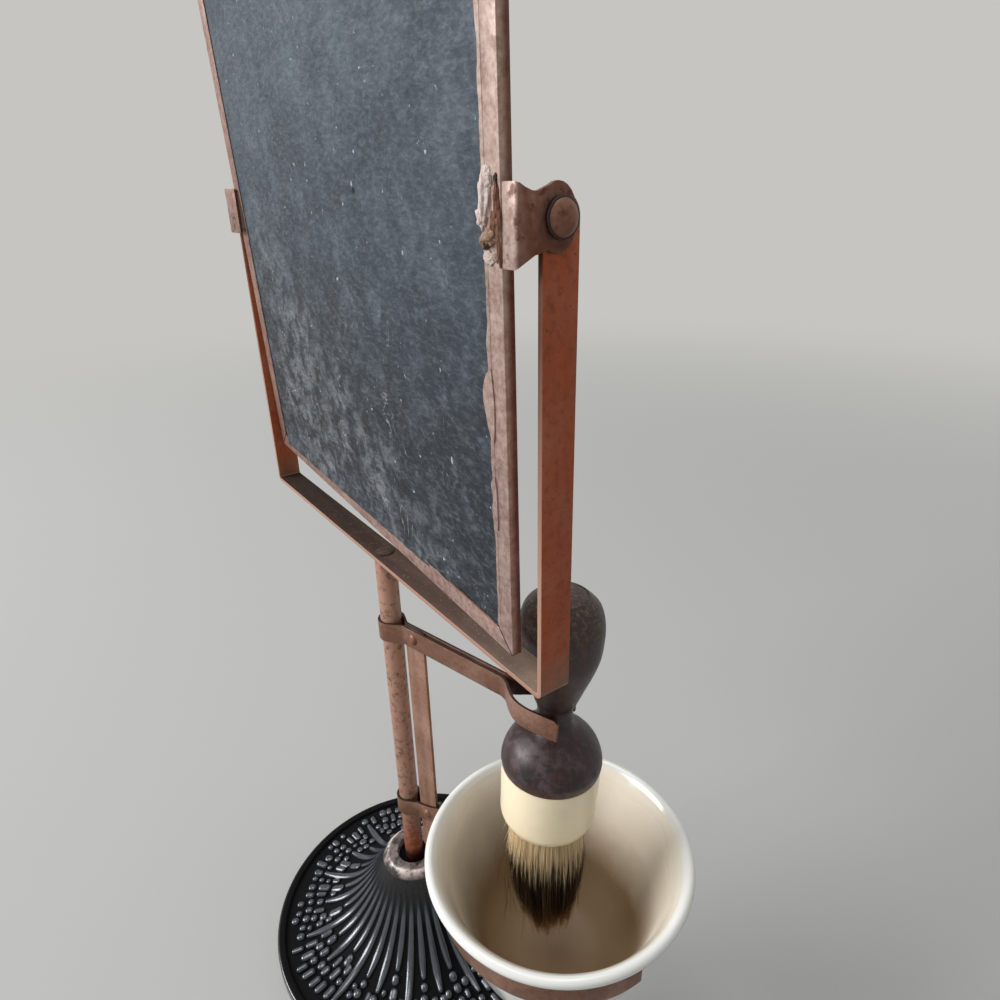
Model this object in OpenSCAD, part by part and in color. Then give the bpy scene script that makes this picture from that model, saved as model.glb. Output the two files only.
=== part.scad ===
// Victorian shaving stand: a cast base, a rod post, a strip yoke with a tilting
// framed mirror, and a strap bracket that carries a glazed cup and a shaving brush.
// Origin: centre of the base where it stands. +Z up along the post. The mirror
// faces -Y; the bracket reaches out towards -X.

/* [Base] */
// Outside diameter of the cast base
base_d = 130; // [120:1:140]
// Height of the boss that the post stands in
boss_h = 41; // [39:0.5:42]
// Height of the plain raised edge
rim_h = 5; // [4:0.5:6]
// Number of radial ribs on the flare, long and short in turn
rib_count = 40; // [24:2:44]
// How far a rib stands above the flare
rib_h = 1.3; // [0.8:0.1:1.6]

/* [Post and yoke] */
// Diameter of the post rod
post_d = 8; // [7.6:0.1:8.2]
// Height of the underside of the yoke bar
bar_z = 191.7; // [190:0.1:194]
// Width across the outside of the yoke
yoke_w = 192.2; // [191:0.2:194]
// Width of the yoke strip
strip_w = 9.45; // [9:0.05:9.6]
// Thickness of the yoke strip
strip_t = 1.5; // [1.2:0.1:1.7]
// Height of the mirror pivots
pivot_z = 308.2; // [306:0.1:310]
// How far the pivots sit behind the middle of the arms
pivot_y = 1.2; // [0:0.1:1.3]
// Diameter of the pivot rivet shank
pivot_d = 3.2; // [3:0.1:3.4]

/* [Mirror] */
// Width of the mirror frame
mirror_w = 178.2; // [176:0.2:179]
// Height of the mirror frame
mirror_h = 208; // [204:0.5:209]
// Depth of the folded frame channel
frame_depth = 3; // [2.8:0.1:3.4]
// Width of the frame flanges
flange_w = 5.9; // [5:0.1:7]
// Distance from the pivots back to the rear of the frame at mid width
frame_back = 8.4; // [8.2:0.1:8.6]
// How far the top of the mirror leans back
mirror_tilt = 3; // [2:0.1:3.5]
// How far the near side sits lower, since its ear was soldered back on low
mirror_roll = 3.4; // [2:0.1:3.5]
// How far the mirror sits off centre towards the near arm
mirror_shift = 1.3; // [1.2:0.1:1.5]
// How far the near side sits further back, for the same reason
mirror_yaw = 1.2; // [0.5:0.1:1.4]

/* [Bracket] */
// Direction of the bracket from +X, counter-clockwise
bracket_az = 194.3; // [194:0.1:200]
// Distance from the post to the middle of the cup
reach = 78.8; // [78.4:0.1:80]
// Height of the strap that the two arms are bent from
strap_h = 8; // [7:0.1:8]
// Thickness of the strap
strap_t = 1; // [0.8:0.1:1.1]
// Height of the middle of the upper arm
upper_z = 161; // [160.5:0.1:161.5]
// Height of the middle of the lower collar
lower_z = 71; // [69:0.1:73]
// Height of the middle of the cup ring
ring_z = 88; // [87.6:0.1:88.2]
// Outside radius of the cup ring
ring_r = 42.4; // [42.2:0.1:42.8]

/* [Cup] */
// Radius of the cup at its rim
cup_r = 46.9; // [46.4:0.1:47.4]
// Height of the rim above the table
cup_top = 102; // [101.5:0.1:102.5]
// Height of the foot above the table
cup_bottom = 42; // [40:0.5:44]
// Radius of the cup's rolled rim
cup_lip = 1.8; // [1.6:0.1:2]

/* [Brush] */
// Distance from the post to the brush neck
brush_r = 76.6; // [76:0.1:77.4]
// How far the top of the brush leans outwards
brush_lean = 2.1; // [1:0.1:3]
// How far the foot of the brush hangs towards the rear
brush_sway = 2; // [0:0.1:2.5]
// Number of bristle strands in the knot
strand_count = 380; // [300:10:400]
// Length of the bristles below the ferrule
bristle_l = 55; // [50:1:56]

/* [Hidden] */

round_fn = 96;              // facets hint for turned shapes
iron = "#1b1b1d";
copper = "#8a5f4c";
copper_light = "#a87f6c";
steel = "#5d5350";
card_black = "#2c3034";
silvering = "#b9c3c8";
solder_grey = "#b9a8a0";
glaze = "#e9e6dd";
rosewood = "#33211d";
ivory = "#e6d9b4";
hair = "#a58b5c";

// base casting
base_r = base_d / 2;
boss_r = 14;                // foot of the rounded boss, where the flare starts
boss_top_r = 10.5;
recess_r = 6.8;             // dark recess round the post
recess_depth = 4;
plate_r = base_r - 4;       // inside of the raised edge
plate_z = 3.6;              // flare height where it meets the raised edge
casting_wall = 3.4;
flare_power = 3.2;          // how quickly the trumpet falls away from the boss
nut_seat_z = 22;            // underside of the solid boss
nut_seat_r = 12;
bore_clear = 0.1;

// post
post_foot_z = 8;            // threaded end below the nut
tenon_d = 5;
swivel_gap = 0.3;           // above and below the bar, so that the yoke can turn
tenon_head_d = 6.6;
tenon_head_h = 0.6;

// yoke
arm_out = yoke_w / 2;
arm_in = arm_out - strip_t;
bend_r = 2.2;

// pivots and ears
ear_t = 1;
ear_gap = 0.3;              // from the arm to the ear plate
ear_in = arm_out + ear_gap;
ear_out = ear_in + ear_t;
washer_t = 0.5;
washer_gap = 0.3;
head_h = 1.6;
head_d = 7.4;
side_x = mirror_w / 2;
near_ear_x = side_x + mirror_shift + 0.4;   // inner end of each ear's rear plate
far_ear_x = side_x - mirror_shift - 4;
near_ear_y = 10.6;          // rear faces of the ears
far_ear_y = 8;
near_slant = 35;            // the near ear is bent in two steps, a slant between them
near_turn_x = 94.4;
far_bend = 2.2;
ear_fold = 1.2;
ear_top = 6.7;              // height of the rear plate above and below the pivot
ear_bottom = -9.4;
neck_top = 4.85;            // and of the neck, which falls in the bend
neck_bottom = -6.5;
oval_y = 2;                 // centre and half sizes of the ear's oval end
oval_a = 4.8;
oval_b = 6.6;

// frame channel
sheet_t = 0.45;
glass_t = 1.5;
card_t = frame_depth - 2 * sheet_t - glass_t;
pane_clear = 0.6;           // from the pane's edge to the channel's web

// bracket
collar_r = post_d / 2 + 0.08;
riser_t = 1.2;
riser_in = 8;
riser_out = riser_in + strip_w;
riser_foot_z = 50.5;
leg_y = riser_t / 2 + strap_t / 2;   // middle of a leg beside the riser
strap_rivet_r = 13;
fork_start = 55.5;          // the upper legs part here
fork_near_end = 83;         // where the two legs end
fork_far_end = 79.5;
ring_mouth = 16;            // half the angle of the ring's open mouth
ring_leg_r = reach - ring_r + strap_t;

// brush, heights measured from the neck
neck_z = upper_z;
ferrule_top = -21;
ferrule_h = 24;
ferrule_round = 5.6;
ferrule_r = 16.2;
ferrule_bore = 12;
spigot_h = 8;
plug_h = 8;
hair_root_r = 11;
hair_waist_r = 12;
hair_tip_r = 7.4;
golden = 137.50776;

// ---- shared shapes ----

// points of an arc about [x, y]
function arc(x, y, r, a0, a1, n = 12) =
    [for (i = [0:n]) let (a = a0 + (a1 - a0) * i / n) [x + r * cos(a), y + r * sin(a)]];

// a smooth curve through the points p, with n steps between each two
function curve(p, n = 5) = concat([for (i = [0:len(p) - 2], k = [0:n - 1])
    let (t = k / n, a = p[max(i - 1, 0)], b = p[i], c = p[i + 1],
        d = p[min(i + 2, len(p) - 1)])
    0.5 * (2 * b + (c - a) * t + (2 * a - 5 * b + 4 * c - d) * t * t
        + (3 * b - a - 3 * c + d) * t * t * t)], [p[len(p) - 1]]);

// an easy rise from 0 to 1
function ease(t) = let (u = min(max(t, 0), 1)) u * u * (3 - 2 * u);

// both sides of a strip of thickness t along the path p
function strip_outline(p, t) = let (
    n = len(p),
    side = [for (i = [0:n - 1])
        let (d = p[min(i + 1, n - 1)] - p[max(i - 1, 0)]) [-d[1], d[0]] / norm(d)])
    concat([for (i = [0:n - 1]) p[i] + side[i] * t / 2],
        [for (i = [n - 1:-1:0]) p[i] - side[i] * t / 2]);

module turned(points) {
    rotate_extrude($fn = round_fn) polygon(points);
}

// a domed rivet head of diameter d and height h, flat side down
module dome(d, h) {
    ball = (d * d / 4 + h * h) / (2 * h);
    intersection() {
        translate([0, 0, h - ball]) sphere(r = ball, $fn = round_fn);
        cylinder(d = d, h = h, $fn = round_fn);
    }
}

// middle height of the lower legs, which rise gently past the riser, then steeply
function leg_z(r) = lower_z + (ring_z - lower_z)
    * pow((r - riser_in) / (ring_leg_r - riser_in), 1.35);

lower_rivet_z = leg_z(strap_rivet_r);

module on_bracket() {
    rotate([0, 0, bracket_az]) children();
}

// the mirror's own frame: y = 0 is the rear of the channel
module on_mirror() {
    translate([0, pivot_y, pivot_z])
        rotate([-mirror_tilt, -mirror_roll, -mirror_yaw])
            translate([-mirror_shift, frame_back - pivot_y, 0]) children();
}

module on_side(side) {
    if (side == "near") mirror([1, 0, 0]) children();
    else children();
}

// ---- base and post ----

function flare_z(r) = plate_z + (boss_h - 3 - plate_z)
    * pow(1 - (r - boss_r) / (plate_r - boss_r), flare_power);

function flare(r0, r1, steps, lift = 0) =
    [for (i = [0:steps]) let (r = r0 + (r1 - r0) * i / steps) [r, flare_z(r) + lift]];

module rib(angle, length) {
    start = boss_r - 2;
    top = [for (i = [0:8]) let (r = boss_r + length * i / 8)
        [r, flare_z(r) + rib_h * min(1, i / 2.5) * (1 - pow(i / 8, 4)) - (i == 0 ? 0.6 : 0)]];
    rotate([0, 0, angle]) rotate([90, 0, 0])
        linear_extrude(height = 2.2, center = true)
            polygon(concat([[start, boss_h - 2.4]], top,
                [[boss_r + length, 1.5], [start, nut_seat_z + 6]]));
}

module base_casting() color(iron) {
    difference() {
        union() {
            turned(concat(
                [[0, boss_h - recess_depth], [recess_r, boss_h - recess_depth],
                 [recess_r + 0.6, boss_h - 0.5], [recess_r + 1.2, boss_h], [boss_top_r, boss_h]],
                arc(boss_top_r, boss_h - 2.5, 2.5, 80, 20, 4),
                flare(boss_r, plate_r, 12),
                [[plate_r + 0.8, rim_h], [base_r - 1, rim_h], [base_r, rim_h - 1],
                 [base_r, 0], [plate_r - 2, 0], [plate_r - 3, 1]],
                [for (i = [8:-1:1]) let (r = boss_r + 2 + (plate_r - 5 - boss_r) * i / 8)
                    [r, max(flare_z(r) - casting_wall, 1)]],
                [[nut_seat_r, nut_seat_z], [0, nut_seat_z]]));
            for (i = [0:rib_count - 1])
                rib(i * 360 / rib_count, i % 2 == 0 ? 27 : 20);
        }
        translate([0, 0, -1]) cylinder(d = post_d + 2 * bore_clear, h = boss_h + 2,
            $fn = round_fn);
    }
}

module base_washer() color(steel)
    translate([0, 0, nut_seat_z - 1.5]) difference() {
        cylinder(d = 18, h = 1.5, $fn = round_fn);
        translate([0, 0, -1]) cylinder(d = post_d + 0.4, h = 4, $fn = round_fn);
    }

module base_nut() color(steel)
    translate([0, 0, nut_seat_z - 1.5 - 6]) difference() {
        cylinder(d = 15, h = 6, $fn = 6);
        translate([0, 0, -1]) cylinder(d = post_d + 0.04, h = 8, $fn = round_fn);
    }

module post() color(copper) {
    turned([[0, post_foot_z], [post_d / 2 - 0.8, post_foot_z],
        [post_d / 2, post_foot_z + 0.8], [post_d / 2, bar_z - swivel_gap], [0, bar_z - swivel_gap]]);
    translate([0, 0, bar_z - 1])
        cylinder(d = tenon_d, h = 1.2 + strip_t + swivel_gap, $fn = round_fn);
    translate([0, 0, bar_z + strip_t + swivel_gap]) dome(tenon_head_d, tenon_head_h);
}

// ---- yoke and pivots ----

module yoke() color(copper) {
    outer = concat([[arm_out, pivot_z]],
        arc(arm_out - bend_r, bar_z + bend_r, bend_r, 0, -90, 6),
        arc(-arm_out + bend_r, bar_z + bend_r, bend_r, -90, -180, 6),
        [[-arm_out, pivot_z]]);
    inner_r = bend_r - strip_t;
    inner = concat([[-arm_in, pivot_z]],
        arc(-arm_in + inner_r, bar_z + bend_r, inner_r, 180, 270, 6),
        arc(arm_in - inner_r, bar_z + bend_r, inner_r, -90, 0, 6),
        [[arm_in, pivot_z]]);
    difference() {
        union() {
            rotate([90, 0, 0]) linear_extrude(height = strip_w, center = true)
                polygon(concat(outer, inner));
            for (x = [-arm_out, arm_in]) translate([x, 0, pivot_z])
                rotate([0, 90, 0]) cylinder(d = strip_w, h = strip_t, $fn = round_fn);
        }
        translate([0, pivot_y, pivot_z]) rotate([0, 90, 0])
            cylinder(d = pivot_d, h = yoke_w + 10, center = true, $fn = round_fn);
        translate([0, 0, bar_z - 1]) cylinder(d = tenon_d + 0.1, h = strip_t + 2,
            $fn = round_fn);
    }
}

module pivot_rivet(side) color(copper_light) on_side(side)
    translate([0, pivot_y, pivot_z]) rotate([0, 90, 0]) {
        translate([0, 0, arm_in - 1]) cylinder(d = pivot_d + 2.4, h = 1, $fn = round_fn);
        translate([0, 0, arm_in - 0.5])
            cylinder(d = pivot_d, h = ear_out + washer_t + washer_gap - arm_in + 1,
                $fn = round_fn);
        translate([0, 0, ear_out + washer_t + washer_gap]) dome(head_d, head_h);
    }

module pivot_washer(side) color(steel) on_side(side)
    translate([ear_out + washer_gap, pivot_y, pivot_z]) rotate([0, 90, 0])
        difference() {
            cylinder(d = 8.2, h = washer_t, $fn = round_fn);
            translate([0, 0, -1]) cylinder(d = pivot_d, h = 3, $fn = round_fn);
        }

// the outward direction at point i of a bend
function bend_normal(p, i) = i == 0 ? [0, 1] : i == len(p) - 1 ? [1, 0] : let (
    d = p[i + 1] - p[i - 1]) [-d[1], d[0]] / norm(d);

// The ear starts at the frame as a rear plate, turns forward round the back of
// the arm, narrows to a neck and ends in an oval that the pivot passes through.
module ear(side, end_x, rear_y, bend) color(copper_light) {
    section = concat([[end_x, rear_y]], bend, [[ear_out, -8], [ear_in, -8]],
        [for (i = [len(bend) - 1:-1:0]) bend[i] - ear_t * bend_normal(bend, i)],
        [[end_x, rear_y - ear_t]]);
    blank = concat([[rear_y + 0.2, ear_top], [rear_y - 0.8, ear_top - 0.4],
        [rear_y - 1.6, ear_top - 1.1], [rear_y - 2.6, neck_top + 0.15],
        [rear_y - 3.5, neck_top]],
        [for (a = [62:14:300]) [oval_y + oval_a * cos(a), oval_b * sin(a)]],
        [[rear_y - 3.1, neck_bottom], [rear_y + 0.2, ear_bottom]]);
    on_side(side) translate([0, 0, pivot_z]) difference() {
        intersection() {
            translate([0, 0, -12]) linear_extrude(height = 24) polygon(section);
            translate([70, 0, 0]) rotate([90, 0, 90])
                linear_extrude(height = 40) polygon(blank);
        }
        translate([ear_in - 1, pivot_y, 0]) rotate([0, 90, 0])
            cylinder(d = pivot_d + 0.1, h = ear_t + 2, $fn = round_fn);
    }
}

module near_ear() {
    second_x = ear_out - ear_fold;
    second_y = near_ear_y - ear_fold - (second_x - near_turn_x) / tan(near_slant);
    ear("near", near_ear_x, near_ear_y, concat(
        arc(near_turn_x, near_ear_y - ear_fold, ear_fold, 90, near_slant, 5),
        arc(second_x, second_y, ear_fold, near_slant, 0, 4)));
}

module far_ear() {
    ear("far", far_ear_x, far_ear_y,
        arc(ear_out - far_bend, far_ear_y - far_bend, far_bend, 90, 0, 8));
}

// ---- mirror ----

module rail(length) {
    difference() {
        translate([-length / 2, -frame_depth, 0]) cube([length, frame_depth, flange_w]);
        translate([-length / 2 - 1, -frame_depth + sheet_t, sheet_t])
            cube([length + 2, frame_depth - 2 * sheet_t, flange_w]);
        for (s = [-1, 1]) translate([s * length / 2, 0, 0]) rotate([0, s * -45, 0])
            translate([s > 0 ? 0 : -3 * flange_w, -frame_depth - 1, -flange_w])
                cube([3 * flange_w, frame_depth + 2, 4 * flange_w]);
    }
}

// a rail whose web lies on the frame's edge at distance d from the middle
module placed_rail(angle, d, length) color(copper)
    on_mirror() rotate([0, angle, 0]) translate([0, 0, -d]) rail(length);

module pane(front, t) {
    w = mirror_w - 2 * (sheet_t + pane_clear);
    h = mirror_h - 2 * (sheet_t + pane_clear);
    on_mirror() translate([-w / 2, front, -h / 2]) cube([w, t, h]);
}

module mirror_glass() color(silvering) pane(sheet_t - frame_depth, glass_t);

module back_card() color(card_black) pane(sheet_t - frame_depth + glass_t, card_t);

module mirror_block() {
    on_mirror() translate([-mirror_w / 2, -frame_depth, -mirror_h / 2])
        cube([mirror_w, frame_depth, mirror_h]);
}

// the lump of solder that holds the re-fixed near ear
module ear_solder_near() color(solder_grey) difference() {
    hull() for (p = [[2.6, 10.4, 8.6, 1.1], [5.2, 10.6, 7.6, 1.2], [6.2, 10.6, 2, 1.4],
        [5.2, 10.3, -3, 1.2], [3.4, 10, -8.4, 1.1], [-0.5, 9.5, -7.6, 0.8],
        [-0.6, 9.6, 4.6, 0.9]])
        translate([p[0] - side_x - mirror_shift, p[1], pivot_z + p[2]])
            sphere(r = p[3], $fn = 20);
    mirror_block();
    near_ear();
}

// the solder that the far ear was first fixed with, between its plate and the frame
module ear_solder_far() color(solder_grey) difference() {
    translate([far_ear_x, 5, pivot_z - 7.5]) cube([4.2, far_ear_y - ear_t - 5, 13]);
    mirror_block();
    far_ear();
}

// ---- bracket ----

// the path of an upper leg past the riser, bowed out round the brush neck
fork_path = curve([[fork_start - 2, leg_y], [fork_start, leg_y], [58.5, 2.2], [62, 5],
    [66, 7.4], [71, 8.35], [76, 8], [80, 7.55], [86, 6.9]], 4);

// from the collar to where the legs close on the riser
function throat(r_end) = [[0, collar_r + strap_t / 2], [2, collar_r + strap_t / 2 - 0.3],
    [riser_in - 1.2, leg_y + 0.25], [riser_in, leg_y], [r_end, leg_y]];

module collar(z) {
    translate([0, 0, z - strap_h / 2]) difference() {
        cylinder(r = collar_r + strap_t, h = strap_h, $fn = round_fn);
        translate([0, 0, -1]) cylinder(r = collar_r, h = strap_h + 2, $fn = round_fn);
        translate([0, -2.6, -1]) cube([20, 5.2, strap_h + 2]);
    }
}

module collar_bore(z) {
    translate([0, 0, z - strap_h]) cylinder(r = collar_r, h = 2 * strap_h, $fn = round_fn);
}

module strap_rivet_hole(z) {
    translate([strap_rivet_r, 0, z]) rotate([90, 0, 0])
        cylinder(d = 2.4, h = 10, center = true, $fn = round_fn);
}

module strap_rivet(z) color(copper_light) on_bracket()
    translate([strap_rivet_r, 0, z]) {
        rotate([90, 0, 0])
            cylinder(d = 2.4, h = 2 * leg_y + strap_t, center = true, $fn = round_fn);
        for (s = [-1, 1]) translate([0, s * (leg_y + strap_t / 2), 0])
            rotate([s * -90, 0, 0]) dome(4.4, 1);
    }

module upper_leg(end_r) {
    intersection() {
        translate([0, 0, upper_z - strap_h / 2]) linear_extrude(height = strap_h)
            polygon(strip_outline(concat(throat(fork_start - 4), fork_path), strap_t));
        rotate([90, 0, 0]) linear_extrude(height = 60, center = true) polygon([
            [-1, upper_z - strap_h], [end_r - 0.9, upper_z - strap_h],
            [end_r - 0.3, upper_z - strap_h / 2 + 0.4], [end_r, upper_z + strap_h / 2 - 1.2],
            [end_r - 1.2, upper_z + strap_h / 2], [end_r - 1.2, upper_z + strap_h],
            [-1, upper_z + strap_h]]);
    }
}

module upper_strap() color(copper_light) on_bracket() difference() {
    union() {
        collar(upper_z);
        mirror([0, 1, 0]) upper_leg(fork_near_end);
        upper_leg(fork_far_end);
    }
    collar_bore(upper_z);
    strap_rivet_hole(upper_z);
}

module lower_strap() color(copper_light) on_bracket() {
    rise = curve([for (i = [0:6]) let (r = riser_in + (ring_leg_r - riser_in) * i / 6)
        [r, leg_z(r)]], 3);
    difference() {
        union() {
            collar(lower_z);
            for (s = [0, 1]) mirror([0, s, 0]) {
                translate([0, 0, lower_z - strap_h / 2]) linear_extrude(height = strap_h)
                    polygon(strip_outline(throat(riser_in + 0.6), strap_t));
                translate([0, leg_y + strap_t / 2, 0]) rotate([90, 0, 0])
                    linear_extrude(height = strap_t) polygon(concat(
                        [for (p = rise) p + [0, strap_h / 2]],
                        [for (i = [len(rise) - 1:-1:0]) rise[i] - [0, strap_h / 2]]));
            }
            translate([reach, 0, ring_z - strap_h / 2]) difference() {
                cylinder(r = ring_r, h = strap_h, $fn = round_fn);
                translate([0, 0, -1])
                    cylinder(r = ring_r - strap_t, h = strap_h + 2, $fn = round_fn);
                translate([0, 0, -1]) linear_extrude(height = strap_h + 2)
                    polygon([[0, 0], [60, -60 * tan(ring_mouth)], [60, 60 * tan(ring_mouth)]]);
                translate([-ring_r - 1, -leg_y + strap_t / 2, -1])
                    cube([3, 2 * leg_y - strap_t, strap_h + 2]);
            }
        }
        collar_bore(lower_z);
        strap_rivet_hole(lower_rivet_z);
    }
}

module riser_strap() color(copper_light) on_bracket() difference() {
    translate([riser_in, -riser_t / 2, riser_foot_z])
        cube([strip_w, riser_t, upper_z + strap_h / 2 - riser_foot_z]);
    strap_rivet_hole(upper_z);
    strap_rivet_hole(lower_rivet_z);
}

// ---- cup ----

module cup() color(glaze) on_bracket() translate([reach, 0, 0]) {
    ring_top = ring_z + strap_h / 2;
    outer = curve([[25, cup_bottom + 1], [26.5, cup_bottom + 5], [31, 55], [36, 70],
        [38.7, 82], [40.5, ring_top - 1.2], [41.2, ring_top + 0.4], [42.8, ring_top + 2.6],
        [cup_r - 1.6, cup_top - 4.6], [cup_r - 0.3, cup_top - 3]], 4);
    inner = curve([[cup_r - 4.2, cup_top - 1.7], [41.2, 97.9], [39.6, 94.6], [38.2, 91.2],
        [36.9, 87], [35.4, 81.5], [33.1, 74], [29.8, 64.5], [25, 55], [16, 48.2],
        [0, cup_bottom + 4.6]], 4);
    turned(concat([[0, cup_bottom + 2], [20, cup_bottom + 2], [21, cup_bottom],
        [24, cup_bottom]], outer,
        arc(cup_r - cup_lip, cup_top - cup_lip, cup_lip, 0, 130, 10), inner));
}

// ---- brush ----

module on_brush() {
    on_bracket() translate([brush_r, 0, neck_z])
        rotate([-brush_sway, brush_lean, 0]) children();
}

module brush_handle() color(rosewood) on_brush() turned(concat(
    [[0, ferrule_top - spigot_h], [ferrule_bore - 0.2, ferrule_top - spigot_h],
     [ferrule_bore - 0.2, ferrule_top]],
    [[ferrule_r - 0.2, ferrule_top]],
    curve([[ferrule_r + 0.2, ferrule_top + 0.6], [16.6, -17.6], [15.5, -13.6], [13.4, -10.2],
        [10, -7.4], [7.2, -5.6], [6, -3.4], [5.8, -0.8], [5.8, 1.6], [6.2, 3.8], [7.1, 6],
        [9.2, 12], [11, 17], [12.7, 23], [13.2, 29], [13, 34.4], [11.6, 39.4],
        [8.8, 42.4]], 4),
    [[7.6, 43.4], [7.2, 43.1], [6, 43.5], [0, 43.9]]));

module brush_ferrule() color(ivory) on_brush() turned(concat(
    [[ferrule_bore, ferrule_top], [ferrule_r, ferrule_top],
     [ferrule_r + 0.2, ferrule_top - 4], [ferrule_r, ferrule_top - 12]],
    arc(ferrule_r - ferrule_round, ferrule_top - ferrule_h + ferrule_round,
        ferrule_round, 0, -70, 7),
    [[ferrule_bore, ferrule_top - ferrule_h]]));

// One strand: three sides, a root inside the plug, a middle and a fine tip.
// The knot keeps its strands apart, because each stays at its own share of
// the radius and its own angle all the way down.
function strand(i) = let (
    share = sqrt((i + 0.5) / strand_count),
    a = i * golden,
    length = bristle_l * (1 - 0.16 * pow(share, 2.2)) * (1 - 0.03 * ((i * 7) % 5) / 4),
    root = ferrule_top - ferrule_h + 2,
    rows = [[share * hair_root_r, root, 0.42, 0],
        [share * hair_waist_r, root - 2 - length * 0.5, 0.36, 0.8],
        [share * hair_tip_r, root - 2 - length, 0.16, 3.4]])
    [for (row = rows, k = [0:2]) [row[0] * cos(a) + row[2] * cos(a + 120 * k) + row[3],
        row[0] * sin(a) + row[2] * sin(a + 120 * k), row[1]]];

function strand_faces(o) = concat([[o + 2, o + 1, o], [o + 6, o + 7, o + 8]],
    [for (row = [0, 3], k = [0:2]) let (a = o + row + k, b = o + row + (k + 1) % 3)
        each [[b, a + 3, a], [b + 3, a + 3, b]]]);

module brush_knot() color(hair) on_brush() union() {
    translate([0, 0, ferrule_top - ferrule_h + 1])
        cylinder(r = ferrule_bore - 0.2, h = plug_h, $fn = 24);
    polyhedron([for (i = [0:strand_count - 1]) each strand(i)],
        [for (i = [0:strand_count - 1]) each strand_faces(9 * i)], convexity = 6);
}

// ---- the pieces ----

base_casting();
base_washer();
base_nut();
post();
yoke();
pivot_rivet("near");  // pivot_rivet_near
pivot_rivet("far");  // pivot_rivet_far
pivot_washer("near");  // pivot_washer_near
pivot_washer("far");  // pivot_washer_far
placed_rail(90, mirror_w / 2, mirror_h);  // frame_rail_near
placed_rail(-90, mirror_w / 2, mirror_h);  // frame_rail_far
placed_rail(180, mirror_h / 2, mirror_w);  // frame_rail_top
placed_rail(0, mirror_h / 2, mirror_w);  // frame_rail_bottom
mirror_glass();
back_card();
near_ear();  // ear_near
far_ear();  // ear_far
ear_solder_near();
ear_solder_far();
upper_strap();
lower_strap();
riser_strap();
strap_rivet(upper_z);  // upper_rivet
strap_rivet(lower_rivet_z);  // lower_rivet
cup();
brush_handle();
brush_ferrule();
brush_knot();
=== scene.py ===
import math
import bpy
import numpy as np
from mathutils import Matrix, Vector, noise


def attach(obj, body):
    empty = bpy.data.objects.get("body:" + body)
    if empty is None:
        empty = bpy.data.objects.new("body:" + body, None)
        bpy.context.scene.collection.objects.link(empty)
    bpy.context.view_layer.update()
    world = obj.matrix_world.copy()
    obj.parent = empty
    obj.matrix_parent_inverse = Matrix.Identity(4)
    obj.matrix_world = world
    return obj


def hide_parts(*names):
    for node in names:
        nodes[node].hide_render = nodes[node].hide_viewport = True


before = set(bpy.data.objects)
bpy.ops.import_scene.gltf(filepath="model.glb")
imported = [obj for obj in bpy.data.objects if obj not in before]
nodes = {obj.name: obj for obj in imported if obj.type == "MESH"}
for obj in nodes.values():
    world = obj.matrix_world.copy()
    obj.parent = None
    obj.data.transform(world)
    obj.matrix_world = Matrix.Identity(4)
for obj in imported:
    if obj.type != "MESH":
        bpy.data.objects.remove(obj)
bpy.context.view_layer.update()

mm = 0.001
dice = np.random.RandomState(11)
# What a user would change is in a dictionary for each piece, beside the code that uses it.
# Lengths there are in millimetres, angles in degrees and colours in sRGB hex.


# sRGB hex to the linear values Blender works in
def colour(hexText, alpha=1.0):
    out = []
    for i in (0, 2, 4):
        v = int(hexText[i:i + 2], 16) / 255
        out.append(v / 12.92 if v <= 0.04045 else ((v + 0.055) / 1.055) ** 2.4)
    return (*out, alpha)


# one shader node: links are its inputs' values or sockets, settings its attributes, and stops
# a colour ramp's (position, brightness or colour); gives the output named, or its first live one
def add(tree, kind, links=None, stops=(), out=None, **settings):
    made = tree.nodes.new("ShaderNode" + kind)
    for name, value in settings.items():
        setattr(made, name, value)
    for name, value in (links or {}).items():
        if isinstance(value, bpy.types.NodeSocket):
            tree.links.new(value, made.inputs[name])
        else:
            made.inputs[name].default_value = value
    if stops:
        points = made.color_ramp.elements
        while len(points) < len(stops):
            points.new(0.5)
        for point, (position, level) in zip(points, stops):
            point.position = position
            point.color = level if isinstance(level, tuple) else (level, level, level, 1)
    return made.outputs[out] if out else next(o for o in made.outputs if o.enabled)


def material(name, roughness, metallic=0.0, **extra):
    made = bpy.data.materials.new(name)
    made.use_nodes = True
    tree = made.node_tree
    shader = tree.nodes["Principled BSDF"]
    shader.inputs["Roughness"].default_value = roughness
    shader.inputs["Metallic"].default_value = metallic
    for name, value in extra.items():
        shader.inputs[name.replace("_", " ")].default_value = value
    return made, tree, shader


# metres along a piece's own axes, from its matrix in millimetres
def placeOn(tree, matrix):
    where = add(tree, "TexCoord", out="Object")
    return add(tree, "Mapping", {"Vector": where, "Location": matrix.to_translation() * mm,
                                 "Rotation": matrix.to_euler()}, vector_type="TEXTURE")


# how squarely a face points along a direction of its own piece
def facing(tree, direction):
    normal = add(tree, "TexCoord", out="Normal")
    return add(tree, "VectorMath", {0: normal, 1: direction}, out="Value",
               operation="DOT_PRODUCT")


# how far where is from point along the axes to keep, in metres
def distance(tree, where, point, keep):
    gap = add(tree, "VectorMath", {0: where, 1: tuple(v * mm for v in point)},
              operation="SUBTRACT")
    kept = add(tree, "VectorMath", {0: gap, 1: keep}, operation="MULTIPLY")
    return add(tree, "VectorMath", {0: kept}, out="Value", operation="LENGTH")


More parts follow.
